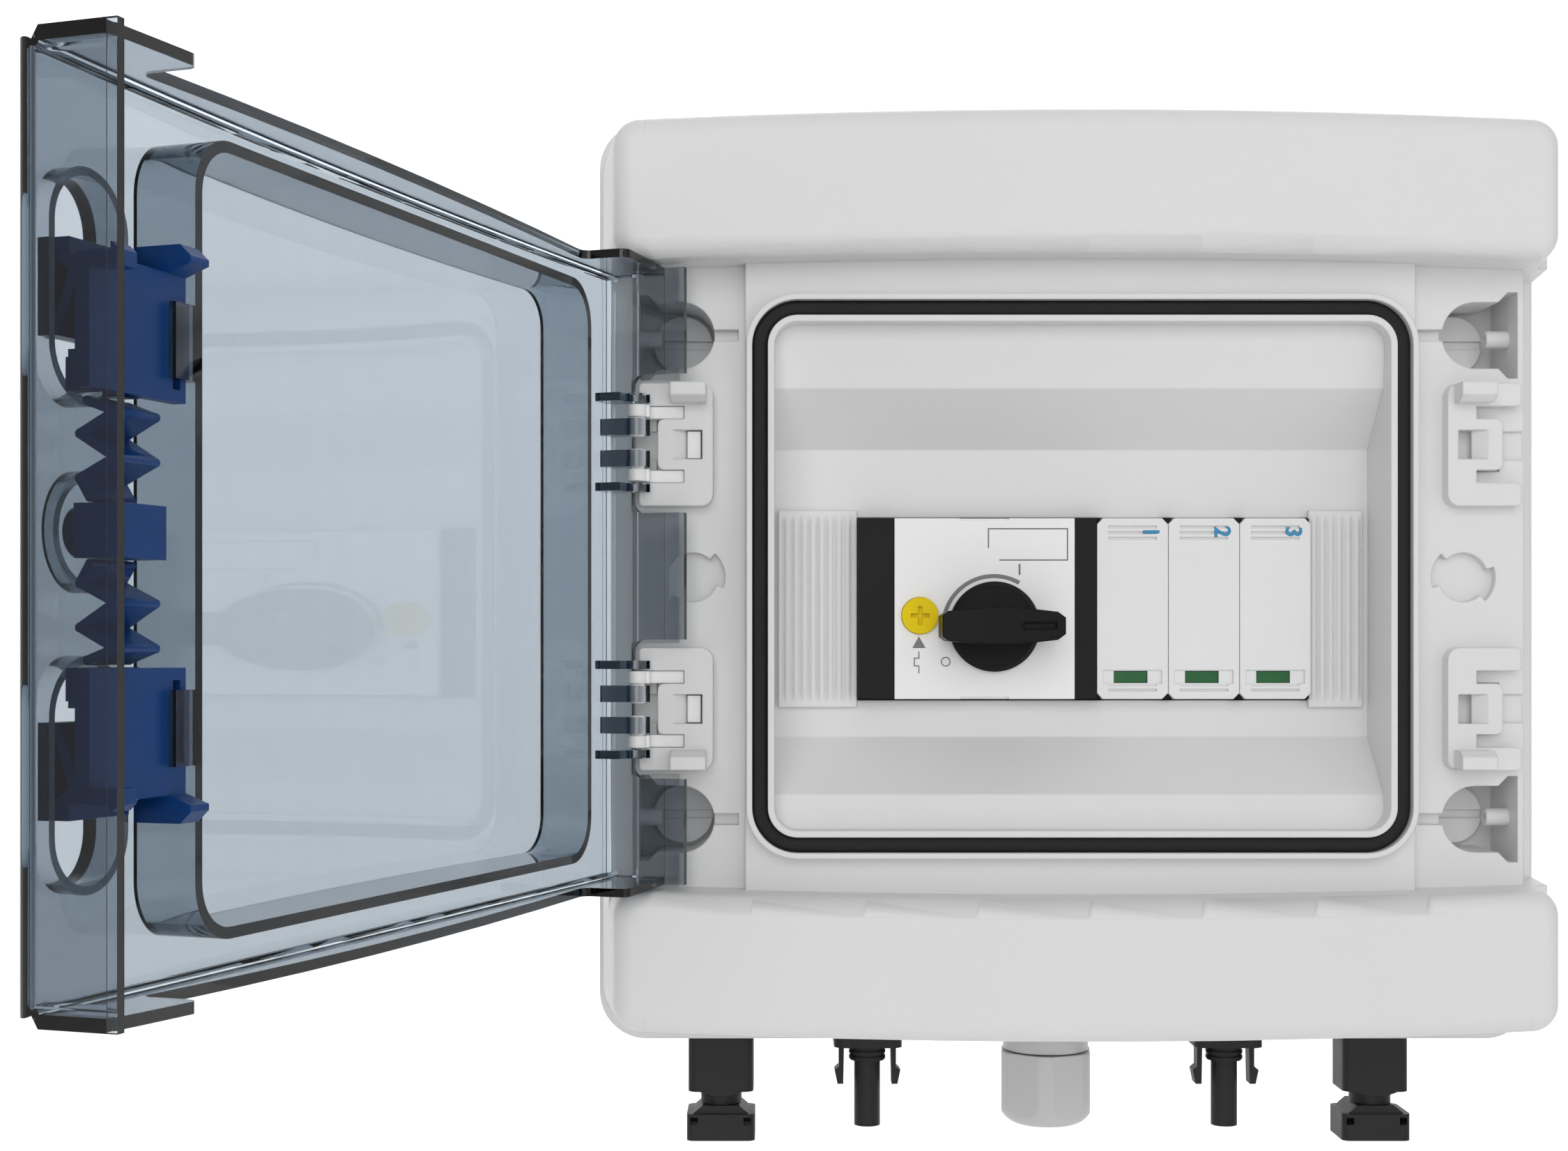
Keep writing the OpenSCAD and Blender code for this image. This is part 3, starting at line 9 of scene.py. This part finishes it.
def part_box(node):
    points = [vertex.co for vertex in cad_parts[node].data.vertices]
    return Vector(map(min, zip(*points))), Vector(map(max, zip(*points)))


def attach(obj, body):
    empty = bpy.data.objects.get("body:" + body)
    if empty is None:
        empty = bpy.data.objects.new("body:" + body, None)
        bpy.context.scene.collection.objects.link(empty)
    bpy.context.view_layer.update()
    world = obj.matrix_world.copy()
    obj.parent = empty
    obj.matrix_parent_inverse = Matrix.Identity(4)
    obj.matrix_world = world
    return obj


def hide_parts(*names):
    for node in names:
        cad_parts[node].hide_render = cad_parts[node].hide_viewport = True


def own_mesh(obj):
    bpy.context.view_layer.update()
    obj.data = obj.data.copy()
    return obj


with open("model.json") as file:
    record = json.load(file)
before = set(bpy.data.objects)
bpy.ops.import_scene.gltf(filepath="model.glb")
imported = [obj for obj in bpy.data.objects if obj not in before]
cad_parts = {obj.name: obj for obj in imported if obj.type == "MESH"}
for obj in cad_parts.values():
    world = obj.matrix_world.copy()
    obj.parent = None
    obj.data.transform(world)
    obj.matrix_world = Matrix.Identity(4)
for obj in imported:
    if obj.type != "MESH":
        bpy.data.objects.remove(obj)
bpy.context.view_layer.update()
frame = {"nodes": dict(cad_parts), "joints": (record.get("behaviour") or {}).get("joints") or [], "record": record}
cadNodes = frame["nodes"]
print("frame loaded:", len(cadNodes), "nodes")

mm = 0.001

# camera, level and straight on, a little left of and below the middle of the box

cameraSetup = {"place": (-74.19, -635.8, -18.92), "lens": 50.38, "shift": (0.0055, 0.0504)}


def addCamera(setup):
    data = bpy.data.cameras.new("viewCamera")
    data.lens = setup["lens"]
    data.sensor_width = 36
    data.shift_x, data.shift_y = setup["shift"]
    data.clip_start, data.clip_end = 0.01, 20
    camera = bpy.data.objects.new("viewCamera", data)
    camera.location = Vector(setup["place"]) * mm
    camera.rotation_euler = (math.radians(90), 0, 0)
    bpy.context.scene.collection.objects.link(camera)
    bpy.context.scene.camera = camera


addCamera(cameraSetup)
print("camera placed")

# shader helpers

bevelSamples = 6
grainDepth = 0.03 * mm
plasticSwing = 0.04  # how far the roughness drifts
metalSwing = 0.08
hazeSwing = 0.02


def startMaterial(name):
    material = bpy.data.materials.new(name)
    material.use_nodes = True
    tree = material.node_tree
    shader = tree.nodes["Principled BSDF"]
    return material, tree, shader


def addNode(tree, kind, **settings):
    node = tree.nodes.new(kind)
    for key, value in settings.items():
        if key in node.inputs:
            node.inputs[key].default_value = value
        else:
            setattr(node, key, value)
    return node


def objectNoise(tree, scale, detail=3.0, stretch=(1, 1, 1)):
    # noise in metres, on the piece's own coordinates
    place = addNode(tree, "ShaderNodeTexCoord")
    turn = addNode(tree, "ShaderNodeMapping")
    turn.inputs["Scale"].default_value = stretch
    noise = addNode(tree, "ShaderNodeTexNoise", Scale=scale, Detail=detail)
    tree.links.new(place.outputs["Object"], turn.inputs["Vector"])
    tree.links.new(turn.outputs["Vector"], noise.inputs["Vector"])
    return noise


def spreadValue(tree, source, low, high, fromLow=0.35, fromHigh=0.65):
    spread = addNode(tree, "ShaderNodeMapRange")
    spread.inputs["From Min"].default_value = fromLow
    spread.inputs["From Max"].default_value = fromHigh
    spread.inputs["To Min"].default_value = low
    spread.inputs["To Max"].default_value = high
    tree.links.new(source, spread.inputs["Value"])
    return spread.outputs["Result"]


def toneColour(tree, shader, noise, colour, change):
    # the colour drifts a little between a lighter and a darker tone
    mix = addNode(tree, "ShaderNodeMix", data_type="RGBA")
    mix.inputs["A"].default_value = (*[c * (1 - change) for c in colour], 1)
    mix.inputs["B"].default_value = (*[min(c * (1 + change), 1) for c in colour], 1)
    tree.links.new(spreadValue(tree, noise.outputs["Fac"], 0, 1), mix.inputs["Factor"])
    tree.links.new(mix.outputs["Result"], shader.inputs["Base Color"])


def softenEdges(tree, shader, noise, edge, grain):
    # rounds the look of hard edges and adds the grain of the mould
    rounding = addNode(tree, "ShaderNodeBevel", samples=bevelSamples)
    rounding.inputs["Radius"].default_value = edge
    bump = addNode(tree, "ShaderNodeBump")
    bump.inputs["Strength"].default_value = grain
    bump.inputs["Distance"].default_value = grainDepth
    tree.links.new(noise.outputs["Fac"], bump.inputs["Height"])
    tree.links.new(rounding.outputs["Normal"], bump.inputs["Normal"])
    tree.links.new(bump.outputs["Normal"], shader.inputs["Normal"])


def mouldedPlastic(name, look):
    material, tree, shader = startMaterial(name)
    cloud = objectNoise(tree, look["cloudScale"])
    grain = objectNoise(tree, look["grainScale"], 2)
    toneColour(tree, shader, cloud, look["colour"], look["toneChange"])
    rough = look["roughness"]
    tree.links.new(
        spreadValue(tree, cloud.outputs["Fac"], rough - plasticSwing, rough + plasticSwing),
        shader.inputs["Roughness"],
    )
    shader.inputs["Specular IOR Level"].default_value = look["shine"]
    softenEdges(tree, shader, grain, look["edge"], look["grain"])
    return material


def clearPlastic(name, look):
    material, tree, shader = startMaterial(name)
    haze = objectNoise(tree, look["hazeScale"], 2)
    shader.inputs["Base Color"].default_value = (*look["colour"], 1)
    shader.inputs["Transmission Weight"].default_value = 1
    shader.inputs["IOR"].default_value = look["ior"]
    tree.links.new(
        spreadValue(tree, haze.outputs["Fac"], look["roughness"], look["roughness"] + hazeSwing),
        shader.inputs["Roughness"],
    )
    depth = addNode(tree, "ShaderNodeVolumeAbsorption")
    depth.inputs["Color"].default_value = (*look["depthColour"], 1)
    depth.inputs["Density"].default_value = look["density"]
    tree.links.new(depth.outputs["Volume"], tree.nodes["Material Output"].inputs["Volume"])
    return material


def platedMetal(name, look):
    material, tree, shader = startMaterial(name)
    brushed = objectNoise(tree, look["grainScale"], 3, look["stretch"])
    toneColour(tree, shader, brushed, look["colour"], look["toneChange"])
    shader.inputs["Metallic"].default_value = 1
    rough = look["roughness"]
    tree.links.new(
        spreadValue(tree, brushed.outputs["Fac"], rough - metalSwing, rough + metalSwing),
        shader.inputs["Roughness"],
    )
    softenEdges(tree, shader, brushed, look["edge"], look["grain"])
    return material


plasticLooks = {
    "shellGrey": dict(colour=(0.76, 0.76, 0.76), roughness=0.42, shine=0.4, cloudScale=9,
                      toneChange=0.012, grainScale=2600, grain=0.18, edge=0.0006),
    "deviceBlack": dict(colour=(0.010, 0.010, 0.010), roughness=0.5, shine=0.16, cloudScale=40,
                        toneChange=0.08, grainScale=3000, grain=0.15, edge=0.0003),
    "plateWhite": dict(colour=(0.90, 0.90, 0.90), roughness=0.38, shine=0.45, cloudScale=30,
                       toneChange=0.01, grainScale=4000, grain=0.06, edge=0.0003),
    "cartridgeWhite": dict(colour=(0.80, 0.80, 0.80), roughness=0.42, shine=0.4, cloudScale=40,
                           toneChange=0.012, grainScale=3500, grain=0.1, edge=0.0003),
    "knobBlack": dict(colour=(0.0045, 0.0045, 0.0045), roughness=0.4, shine=0.14, cloudScale=60,
                      toneChange=0.1, grainScale=3600, grain=0.12, edge=0.0007),
    "buttonYellow": dict(colour=(0.86, 0.64, 0.003), roughness=0.4, shine=0.12, cloudScale=120,
                         toneChange=0.04, grainScale=4000, grain=0.06, edge=0.0003),
    "catchBlue": dict(colour=(0.003, 0.045, 0.19), roughness=0.36, shine=0.22, cloudScale=60,
                      toneChange=0.06, grainScale=3500, grain=0.08, edge=0.0003),
    "flagGreen": dict(colour=(0.02, 0.125, 0.04), roughness=0.3, shine=0.25, cloudScale=150,
                      toneChange=0.05, grainScale=4000, grain=0.04, edge=0.0002),
    "insertWhite": dict(colour=(0.88, 0.88, 0.88), roughness=0.36, shine=0.45, cloudScale=60,
                        toneChange=0.01, grainScale=4000, grain=0.06, edge=0.0004),
    "connectorBlack": dict(colour=(0.016, 0.016, 0.016), roughness=0.5, shine=0.3, cloudScale=50,
                           toneChange=0.1, grainScale=2600, grain=0.2, edge=0.0004),
    "glandGrey": dict(colour=(0.58, 0.58, 0.58), roughness=0.42, shine=0.4, cloudScale=40,
                      toneChange=0.02, grainScale=2600, grain=0.16, edge=0.0005),
    "sealBlack": dict(colour=(0.014, 0.014, 0.014), roughness=0.62, shine=0.25, cloudScale=60,
                      toneChange=0.12, grainScale=2200, grain=0.25, edge=0.0004),
    "wireRed": dict(colour=(0.42, 0.02, 0.015), roughness=0.5, shine=0.35, cloudScale=60,
                    toneChange=0.06, grainScale=2200, grain=0.15, edge=0.0003),
    "wireBlack": dict(colour=(0.016, 0.016, 0.016), roughness=0.5, shine=0.35, cloudScale=60,
                      toneChange=0.1, grainScale=2200, grain=0.15, edge=0.0003),
}
metalLooks = {
    "platedSteel": dict(colour=(0.62, 0.62, 0.63), roughness=0.34, grainScale=900,
                        stretch=(0.05, 1, 1), toneChange=0.05, grain=0.1, edge=0.0002),
    "tinnedContact": dict(colour=(0.72, 0.68, 0.58), roughness=0.3, grainScale=900,
                          stretch=(1, 0.1, 1), toneChange=0.05, grain=0.08, edge=0.0002),
}
plasticLooks["inkGrey"] = dict(plasticLooks["plateWhite"], colour=(0.19, 0.19, 0.19))
plasticLooks["inkBlue"] = dict(plasticLooks["plateWhite"], colour=(0.02, 0.26, 0.50))
clearLook = dict(colour=(0.99, 0.99, 0.99), roughness=0.02, ior=1.5, hazeScale=25,
                 depthColour=(0.091, 0.215, 0.318), density=440)

finishes = {name: mouldedPlastic(name, look) for name, look in plasticLooks.items()}
finishes.update({name: platedMetal(name, look) for name, look in metalLooks.items()})
finishes["clearSmoke"] = clearPlastic("clearSmoke", clearLook)

slotFinish = {
    "shell_grey": "shellGrey", "clear_smoke": "clearSmoke", "device_black": "deviceBlack",
    "plate_white": "plateWhite", "cartridge_white": "cartridgeWhite", "knob_black": "knobBlack",
    "button_yellow": "buttonYellow", "catch_blue": "catchBlue", "flag_green": "flagGreen",
    "insert_white": "insertWhite", "connector_black": "connectorBlack",
    "gland_grey": "glandGrey", "steel": "platedSteel", "contact_metal": "tinnedContact",
    "seal_black": "sealBlack", "wire_red": "wireRed", "wire_black": "wireBlack",
}


def dress(piece, finish):
    piece.data.materials.clear()
    piece.data.materials.append(finishes[finish])


for part in frame["record"]["subparts"]:
    dress(cadNodes[part["node"]], slotFinish[part["material_slot"]])
print("finishes set")

# small helpers for places in the frame


def front(node):
    # the smallest depth of a node, which is its front
    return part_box(node)[0].y


def keepPiece(name, mesh, finish, body, smooth=30):
    mesh.materials.clear()
    mesh.materials.append(finishes[finish])
    mesh.shade_smooth()
    mesh.set_sharp_from_angle(angle=math.radians(smooth))
    piece = bpy.data.objects.new(name, mesh)
    bpy.context.scene.collection.objects.link(piece)
    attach(piece, body)
    return piece


def tidyMesh(mesh):
    shape = bmesh.new()
    shape.from_mesh(mesh)
    bmesh.ops.remove_doubles(shape, verts=shape.verts, dist=1e-6)
    bmesh.ops.recalc_face_normals(shape, faces=shape.faces)
    shape.to_mesh(mesh)
    shape.free()


# geometry node helpers


def startTree(name, inputs):
    tree = bpy.data.node_groups.new(name, "GeometryNodeTree")
    for label, kind in inputs.items():
        tree.interface.new_socket(name=label, in_out="INPUT", socket_type="NodeSocket" + kind)
    tree.interface.new_socket(name="Geometry", in_out="OUTPUT",
                              socket_type="NodeSocketGeometry")
    return tree, tree.nodes.new("NodeGroupInput").outputs


def put(tree, kind, links, **settings):
    # a node whose inputs are linked to sockets or set to plain values
    node = tree.nodes.new(kind)
    for key, value in settings.items():
        setattr(node, key, value)
    for label, value in links.items():
        if isinstance(value, bpy.types.NodeSocket):
            tree.links.new(value, node.inputs[label])
        else:
            node.inputs[label].default_value = value
    return node.outputs


def sums(tree, operation, first, second=0.0):
    return put(tree, "ShaderNodeMath", {0: first, 1: second}, operation=operation)[0]


def endTree(tree, geometry, finish):
    whole = put(tree, "GeometryNodeRealizeInstances", {"Geometry": geometry})[0]
    coated = put(tree, "GeometryNodeSetMaterial",
                 {"Geometry": whole, "Material": finishes[finish]})[0]
    end = tree.nodes.new("NodeGroupOutput")
    tree.links.new(coated, end.inputs["Geometry"])


def growMesh(tree, values):
    holder = bpy.data.objects.new(tree.name, bpy.data.meshes.new(tree.name))
    bpy.context.scene.collection.objects.link(holder)
    modifier = holder.modifiers.new(tree.name, "NODES")
    modifier.node_group = tree
    for socket in tree.interface.items_tree:
        if socket.in_out == "INPUT":
            modifier[socket.identifier] = values[socket.name]
    graph = bpy.context.evaluated_depsgraph_get()
    mesh = bpy.data.meshes.new_from_object(holder.evaluated_get(graph))
    holder.modifiers.clear()
    bpy.data.objects.remove(holder)
    tidyMesh(mesh)
    return mesh


# door seal, a foam strip that follows a rounded rectangle

sealLook = {"strip": 3.6 * mm, "round": 0.9 * mm, "corner": 9.1 * mm,
            "cornerSteps": 24, "roundSteps": 6, "smooth": 40}


def sealTree(finish):
    tree, size = startTree("sealPath", {
        "Width": "Float", "Height": "Float", "Corner": "Float",
        "Strip": "Float", "Depth": "Float", "Round": "Float", "Place": "Vector",
        "CornerSteps": "Int", "RoundSteps": "Int"})
    path = put(tree, "GeometryNodeCurvePrimitiveQuadrilateral",
               {"Width": size["Width"], "Height": size["Height"]})[0]
    path = put(tree, "GeometryNodeFilletCurve",
               {"Curve": path, "Count": size["CornerSteps"], "Radius": size["Corner"]},
               mode="POLY")[0]
    strip = put(tree, "GeometryNodeCurvePrimitiveQuadrilateral",
                {"Width": size["Strip"], "Height": size["Depth"]})[0]
    strip = put(tree, "GeometryNodeFilletCurve",
                {"Curve": strip, "Count": size["RoundSteps"], "Radius": size["Round"]},
                mode="POLY")[0]
    swept = put(tree, "GeometryNodeCurveToMesh", {"Curve": path, "Profile Curve": strip})[0]
    placed = put(tree, "GeometryNodeTransform",
                 {"Geometry": swept, "Translation": size["Place"],
                  "Rotation": (math.radians(90), 0, 0)})[0]
    endTree(tree, placed, finish)
    return tree


def addSeal(look):
    low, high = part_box("door_gasket")
    size = high - low
    values = {
        "Width": size.x - look["strip"], "Height": size.z - look["strip"],
        "Corner": look["corner"], "Strip": look["strip"], "Depth": size.y,
        "Round": look["round"], "Place": (low + high) / 2,
        "CornerSteps": look["cornerSteps"], "RoundSteps": look["roundSteps"],
    }
    mesh = growMesh(sealTree("sealBlack"), values)
    seal = keepPiece("sealStrip", mesh, "sealBlack", "housing",
                     look["smooth"])
    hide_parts("door_gasket")


addSeal(sealLook)
print("seal swept")

# zigzag springs, which stay on the door

springLook = {"travel": 4 * mm, "sides": {"upper": "catch_squeeze_high",
                                          "lower": "catch_squeeze_low"}}


def addSprings(look):
    for side, joint in look["sides"].items():
        node = "catch_spring_" + side
        mesh = cadNodes[node].data.copy()
        tidyMesh(mesh)
        spring = keepPiece("zigzagSpring_" + side, mesh, "catchBlue", "door")
        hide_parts(node)
        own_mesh(spring)


addSprings(springLook)
print("springs placed")

# blanking plates, one grooved sheet on each side of the devices

plateLook = {"pitch": 2.15 * mm, "grooveDepth": 1.0 * mm, "grooveHalf": 0.3, "fade": 2.2 * mm,
             "margin": 1.2 * mm, "thickness": 1.4 * mm, "height": 49.3 * mm,
             "grooves": {"blank_left": 9, "blank_right": 6},
             "columns": 10, "rows": 60, "smooth": 20}  # columns are for each pitch


def grooveTree(finish):
    tree, size = startTree("groovedPlate", {
        "Width": "Float", "Height": "Float", "Pitch": "Float", "Depth": "Float",
        "Grooves": "Int", "Margin": "Float", "Fade": "Float", "Thickness": "Float",
        "Half": "Float", "Columns": "Int", "Rows": "Int", "Place": "Vector"})
    # many columns to a pitch, so that each groove's sides stay straight
    columns = sums(tree, "MULTIPLY", sums(tree, "DIVIDE", size["Width"], size["Pitch"]),
                   size["Columns"])
    sheet = put(tree, "GeometryNodeMeshGrid",
                {"Size X": size["Width"], "Size Y": size["Height"],
                 "Vertices X": columns, "Vertices Y": size["Rows"]})[0]
    where = put(tree, "ShaderNodeSeparateXYZ", {0: put(tree, "GeometryNodeInputPosition", {})[0]})
    away = sums(tree, "PINGPONG", where["X"], sums(tree, "MULTIPLY", size["Pitch"], 0.5))
    slope = sums(tree, "SUBTRACT", 1, sums(tree, "DIVIDE", away,
                                           sums(tree, "MULTIPLY", size["Pitch"],
                                                size["Half"])))
    reach = sums(tree, "MULTIPLY", size["Pitch"], sums(tree, "MULTIPLY", size["Grooves"], 0.5))
    within = sums(tree, "LESS_THAN", sums(tree, "ABSOLUTE", where["X"]), reach)
    ends = sums(tree, "SUBTRACT", sums(tree, "MULTIPLY", size["Height"], 0.5), size["Margin"])
    ends = sums(tree, "SUBTRACT", ends, sums(tree, "ABSOLUTE", where["Y"]))
    ends = put(tree, "ShaderNodeClamp",
               {"Value": sums(tree, "DIVIDE", ends, size["Fade"])})[0]
    cut = put(tree, "ShaderNodeClamp", {"Value": slope})[0]
    cut = sums(tree, "MULTIPLY", sums(tree, "MULTIPLY", cut, within),
               sums(tree, "MULTIPLY", ends, size["Depth"]))
    sunk = put(tree, "ShaderNodeCombineXYZ", {"Z": sums(tree, "MULTIPLY", cut, -1)})[0]
    grooved = put(tree, "GeometryNodeSetPosition", {"Geometry": sheet, "Offset": sunk})[0]
    drop = put(tree, "ShaderNodeCombineXYZ",
               {"Z": sums(tree, "MULTIPLY", size["Thickness"], -1)})[0]
    wall = put(tree, "GeometryNodeExtrudeMesh",
               {"Mesh": sheet, "Offset": drop, "Offset Scale": 1, "Individual": False})
    # the sheet is lowered by its thickness with walls round its rim, and the grooved sheet is joined on top
    both = put(tree, "GeometryNodeJoinGeometry", {"Geometry": wall["Mesh"]})
    tree.links.new(grooved, both[0].node.inputs["Geometry"])
    placed = put(tree, "GeometryNodeTransform",
                 {"Geometry": both[0], "Translation": size["Place"],
                  "Rotation": (math.radians(90), 0, 0)})[0]
    endTree(tree, placed, finish)
    return tree


def addGroovedPlate(node, look):
    low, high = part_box(node)
    values = {
        "Width": high.x - low.x, "Height": look["height"], "Pitch": look["pitch"],
        "Depth": look["grooveDepth"], "Grooves": look["grooves"][node],
        "Margin": look["margin"], "Fade": look["fade"], "Thickness": look["thickness"],
        "Half": look["grooveHalf"], "Columns": look["columns"], "Rows": look["rows"],
        "Place": Vector(((low.x + high.x) / 2, low.y, (low.z + high.z) / 2)),
    }
    plate = keepPiece(node + "_plate", growMesh(grooveTree("shellGrey"), values), "shellGrey",
                      "housing", look["smooth"])
    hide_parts(node)


for side in plateLook["grooves"]:
    addGroovedPlate(side, plateLook)
print("blanking plates grooved")

# printed marks round the switch, in millimetres from the knob's axis

markLook = {
    "inkDepth": 0.03, "fineLine": 0.26, "frameLine": 0.3, "onLine": 0.46, "bandLine": 1.0,
    "band": {"radius": 12.6, "from": 60, "to": 177, "steps": 48},
    "off": {"place": (-11.98, -8.72), "radius": 1.08, "steps": 40},
    "on": [(6.39, 12.87), (6.39, 15.66)],
    "pointer": [(-20.27, -5.31), (-16.98, -5.31), (-18.65, -2.41)],
    "release": [(-18.64, -6.12), (-18.64, -7.83), (-19.77, -7.83), (-19.77, -9.76),
                (-18.64, -9.76), (-18.64, -11.62)],
    "labelFrame": [(-1.34, 19.54), (-1.34, 24.37), (18.31, 24.37), (18.31, 16.59),
                   (1.32, 16.59)],
}


def arcPoints(radius, start, stop, steps, place=(0, 0)):
    turns = [math.radians(start + (stop - start) * i / steps) for i in range(steps + 1)]
    return [(place[0] + radius * math.cos(t), place[1] + radius * math.sin(t)) for t in turns]


def strokeEdges(points, width, closed):
    # both edges of a drawn line, mitred where it bends
    spots = [Vector(p) for p in points]
    pairs = []
    for i, spot in enumerate(spots):
        ahead = spots[(i + 1) % len(spots)] if closed or i + 1 < len(spots) else None
        behind = spots[i - 1] if closed or i else None
        runs = [(b - a).normalized() for a, b in ((behind, spot), (spot, ahead))
                if a is not None and b is not None]
        along = sum(runs, Vector((0, 0))).normalized()
        side = Vector((-along.y, along.x))
        reach = width / 2 / max(along.dot(runs[0]), 0.3)
        pairs.append((spot + side * reach, spot - side * reach))
    return pairs


sortAlong = Vector((1, 0.371, 0.129))  # a slant that no two corners share


class inkDrawing:
    # flat ink shapes in the plane of a face, given a little depth at the end

    def __init__(self, origin):
        self.shape = bmesh.new()
        self.origin = origin

    def spot(self, point):
        return self.shape.verts.new(self.origin + Vector((point[0], 0, point[1])) * mm)

    def line(self, points, width, closed=False):
        rows = [[self.spot(p) for p in pair] for pair in strokeEdges(points, width, closed)]
        for one, two in zip(rows, rows[1:] + (rows[:1] if closed else [])):
            self.shape.faces.new((one[0], one[1], two[1], two[0]))

    def patch(self, points):
        self.shape.faces.new([self.spot(p) for p in points])

    def mesh(self, name, depth):
        sheet = self.shape.faces[:]
        raised = bmesh.ops.extrude_face_region(self.shape, geom=sheet)["geom"]
        moved = [v for v in raised if isinstance(v, bmesh.types.BMVert)]
        bmesh.ops.translate(self.shape, verts=moved, vec=(0, -2 * depth * mm, 0))
        bmesh.ops.translate(self.shape, verts=self.shape.verts, vec=(0, depth * mm, 0))
        bmesh.ops.recalc_face_normals(self.shape, faces=self.shape.faces)
        # one fixed order, so that every run writes the same mesh
        self.shape.verts.sort(key=lambda v: v.co.dot(sortAlong))
        self.shape.faces.sort(key=lambda f: f.calc_center_median().dot(sortAlong))
        mesh = bpy.data.meshes.new(name)
        self.shape.to_mesh(mesh)
        self.shape.free()
        return mesh


def jointPlace(name):
    return next(Vector(j["pos_m"]) for j in frame["joints"] if j["name"] == name)


def addMarks(look):
    axis = jointPlace("knob_turn")
    drawing = inkDrawing(Vector((axis.x, front("switch_faceplate"), axis.z)))
    band, off = look["band"], look["off"]
    drawing.line(arcPoints(band["radius"], band["from"], band["to"], band["steps"]),
                 look["bandLine"])
    drawing.line(arcPoints(off["radius"], 0, 360, off["steps"], off["place"])[:-1],
                 look["fineLine"], closed=True)
    drawing.line(look["on"], look["onLine"])
    drawing.line(look["release"], look["fineLine"])
    drawing.line(look["labelFrame"], look["frameLine"])
    drawing.patch(look["pointer"])
    mesh = drawing.mesh("faceMarks", look["inkDepth"])
    marks = keepPiece("faceMarks", mesh, "inkGrey", "housing")


# plain numbers on the arrester cartridges

numberLook = {"height": 3.9 * mm, "depth": 0.03 * mm, "inset": (6.1 * mm, 3.4 * mm),
              "fontShare": 0.69, "weight": 0.03}  # a digit's height and boldness by the font


def numberMesh(sign, look):
    letters = bpy.data.curves.new("number" + sign, "FONT")
    letters.body = sign
    letters.size = look["height"] / look["fontShare"]
    letters.align_x = "CENTER"
    letters.offset = look["height"] * look["weight"]
    letters.extrude = look["depth"]
    holder = bpy.data.objects.new("number" + sign, letters)
    bpy.context.scene.collection.objects.link(holder)
    graph = bpy.context.evaluated_depsgraph_get()
    mesh = bpy.data.meshes.new_from_object(holder.evaluated_get(graph))
    bpy.data.objects.remove(holder)
    return mesh


def addNumbers(look):
    for i in range(1, 4):
        node = "spd_cartridge_%d" % i
        low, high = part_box(node)
        mesh = numberMesh(str(i), look)
        # upright text is turned to read downwards, then stood against the front
        mesh.transform(Matrix.Rotation(math.radians(90), 4, "X")
                       @ Matrix.Rotation(math.radians(-90), 4, "Z"))
        mesh.transform(Matrix.Translation(
            (high.x - look["inset"][0], low.y, high.z - look["inset"][1])))
        tidyMesh(mesh)
        number = keepPiece("numberMark_%d" % i, mesh, "inkBlue", "cartridge_%d" % i)


addMarks(markLook)
addNumbers(numberLook)
print("marks and numbers printed")

# stage: pale sweep and soft light

stageSetup = {"floorZ": -0.42, "backY": 1.6, "bend": 0.8, "width": 9.0, "frontY": -4.0,
              "topZ": 4.5, "steps": 24, "tone": (0.92, 0.92, 0.92), "roughness": 0.9}


def addSweep(setup):
    steps = setup["steps"]
    outline = [(setup["frontY"], setup["floorZ"])]
    for i in range(steps + 1):
        turn = math.radians(90) * i / steps
        outline.append((setup["backY"] - setup["bend"] + setup["bend"] * math.sin(turn),
                        setup["floorZ"] + setup["bend"] * (1 - math.cos(turn))))
    outline.append((setup["backY"], setup["topZ"]))
    mesh = bpy.data.meshes.new("paleSweep")
    half = setup["width"] / 2
    points = [(x, y, z) for y, z in outline for x in (-half, half)]
    faces = [(2 * i, 2 * i + 1, 2 * i + 3, 2 * i + 2) for i in range(len(outline) - 1)]
    mesh.from_pydata(points, [], faces)
    mesh.shade_smooth()
    sweep = bpy.data.objects.new("paleSweep", mesh)
    bpy.context.scene.collection.objects.link(sweep)
    material, tree, shader = startMaterial("paleSweep")
    shader.inputs["Base Color"].default_value = (*setup["tone"], 1)
    shader.inputs["Roughness"].default_value = setup["roughness"]
    mesh.materials.append(material)


lightSetup = {
    "keyLight": dict(place=(-0.35, -2.5, 0.7), aim=(0, 0, 0), size=1.8, power=21.6),
    "fillLight": dict(place=(1.6, -1.9, 0.5), aim=(0, 0, 0), size=2.0, power=5.8),
    "topLight": dict(place=(0, -0.4, 2.2), aim=(0, 0, 0), size=2.4, power=6.6),
    "backLight": dict(place=(0, 0.15, 1.7), aim=(0, 1.6, 1.6), size=2.4, power=54),
}


def addLights(setups):
    for name, setup in setups.items():
        data = bpy.data.lights.new(name, "AREA")
        data.shape = "SQUARE"
        data.size = setup["size"]
        data.energy = setup["power"]
        light = bpy.data.objects.new(name, data)
        light.location = setup["place"]
        aim = Vector(setup["aim"]) - Vector(setup["place"])
        light.rotation_euler = aim.to_track_quat("-Z", "Y").to_euler()
        bpy.context.scene.collection.objects.link(light)


worldSetup = {"strength": 0.40}


def setWorld(setup):
    world = bpy.data.worlds.new("softWorld")
    world.use_nodes = True
    world.node_tree.nodes["Background"].inputs["Color"].default_value = (1, 1, 1, 1)
    world.node_tree.nodes["Background"].inputs["Strength"].default_value = setup["strength"]
    bpy.context.scene.world = world


addSweep(stageSetup)
addLights(lightSetup)
setWorld(worldSetup)
bpy.context.scene.view_settings.view_transform = "Standard"
print("stage lit")
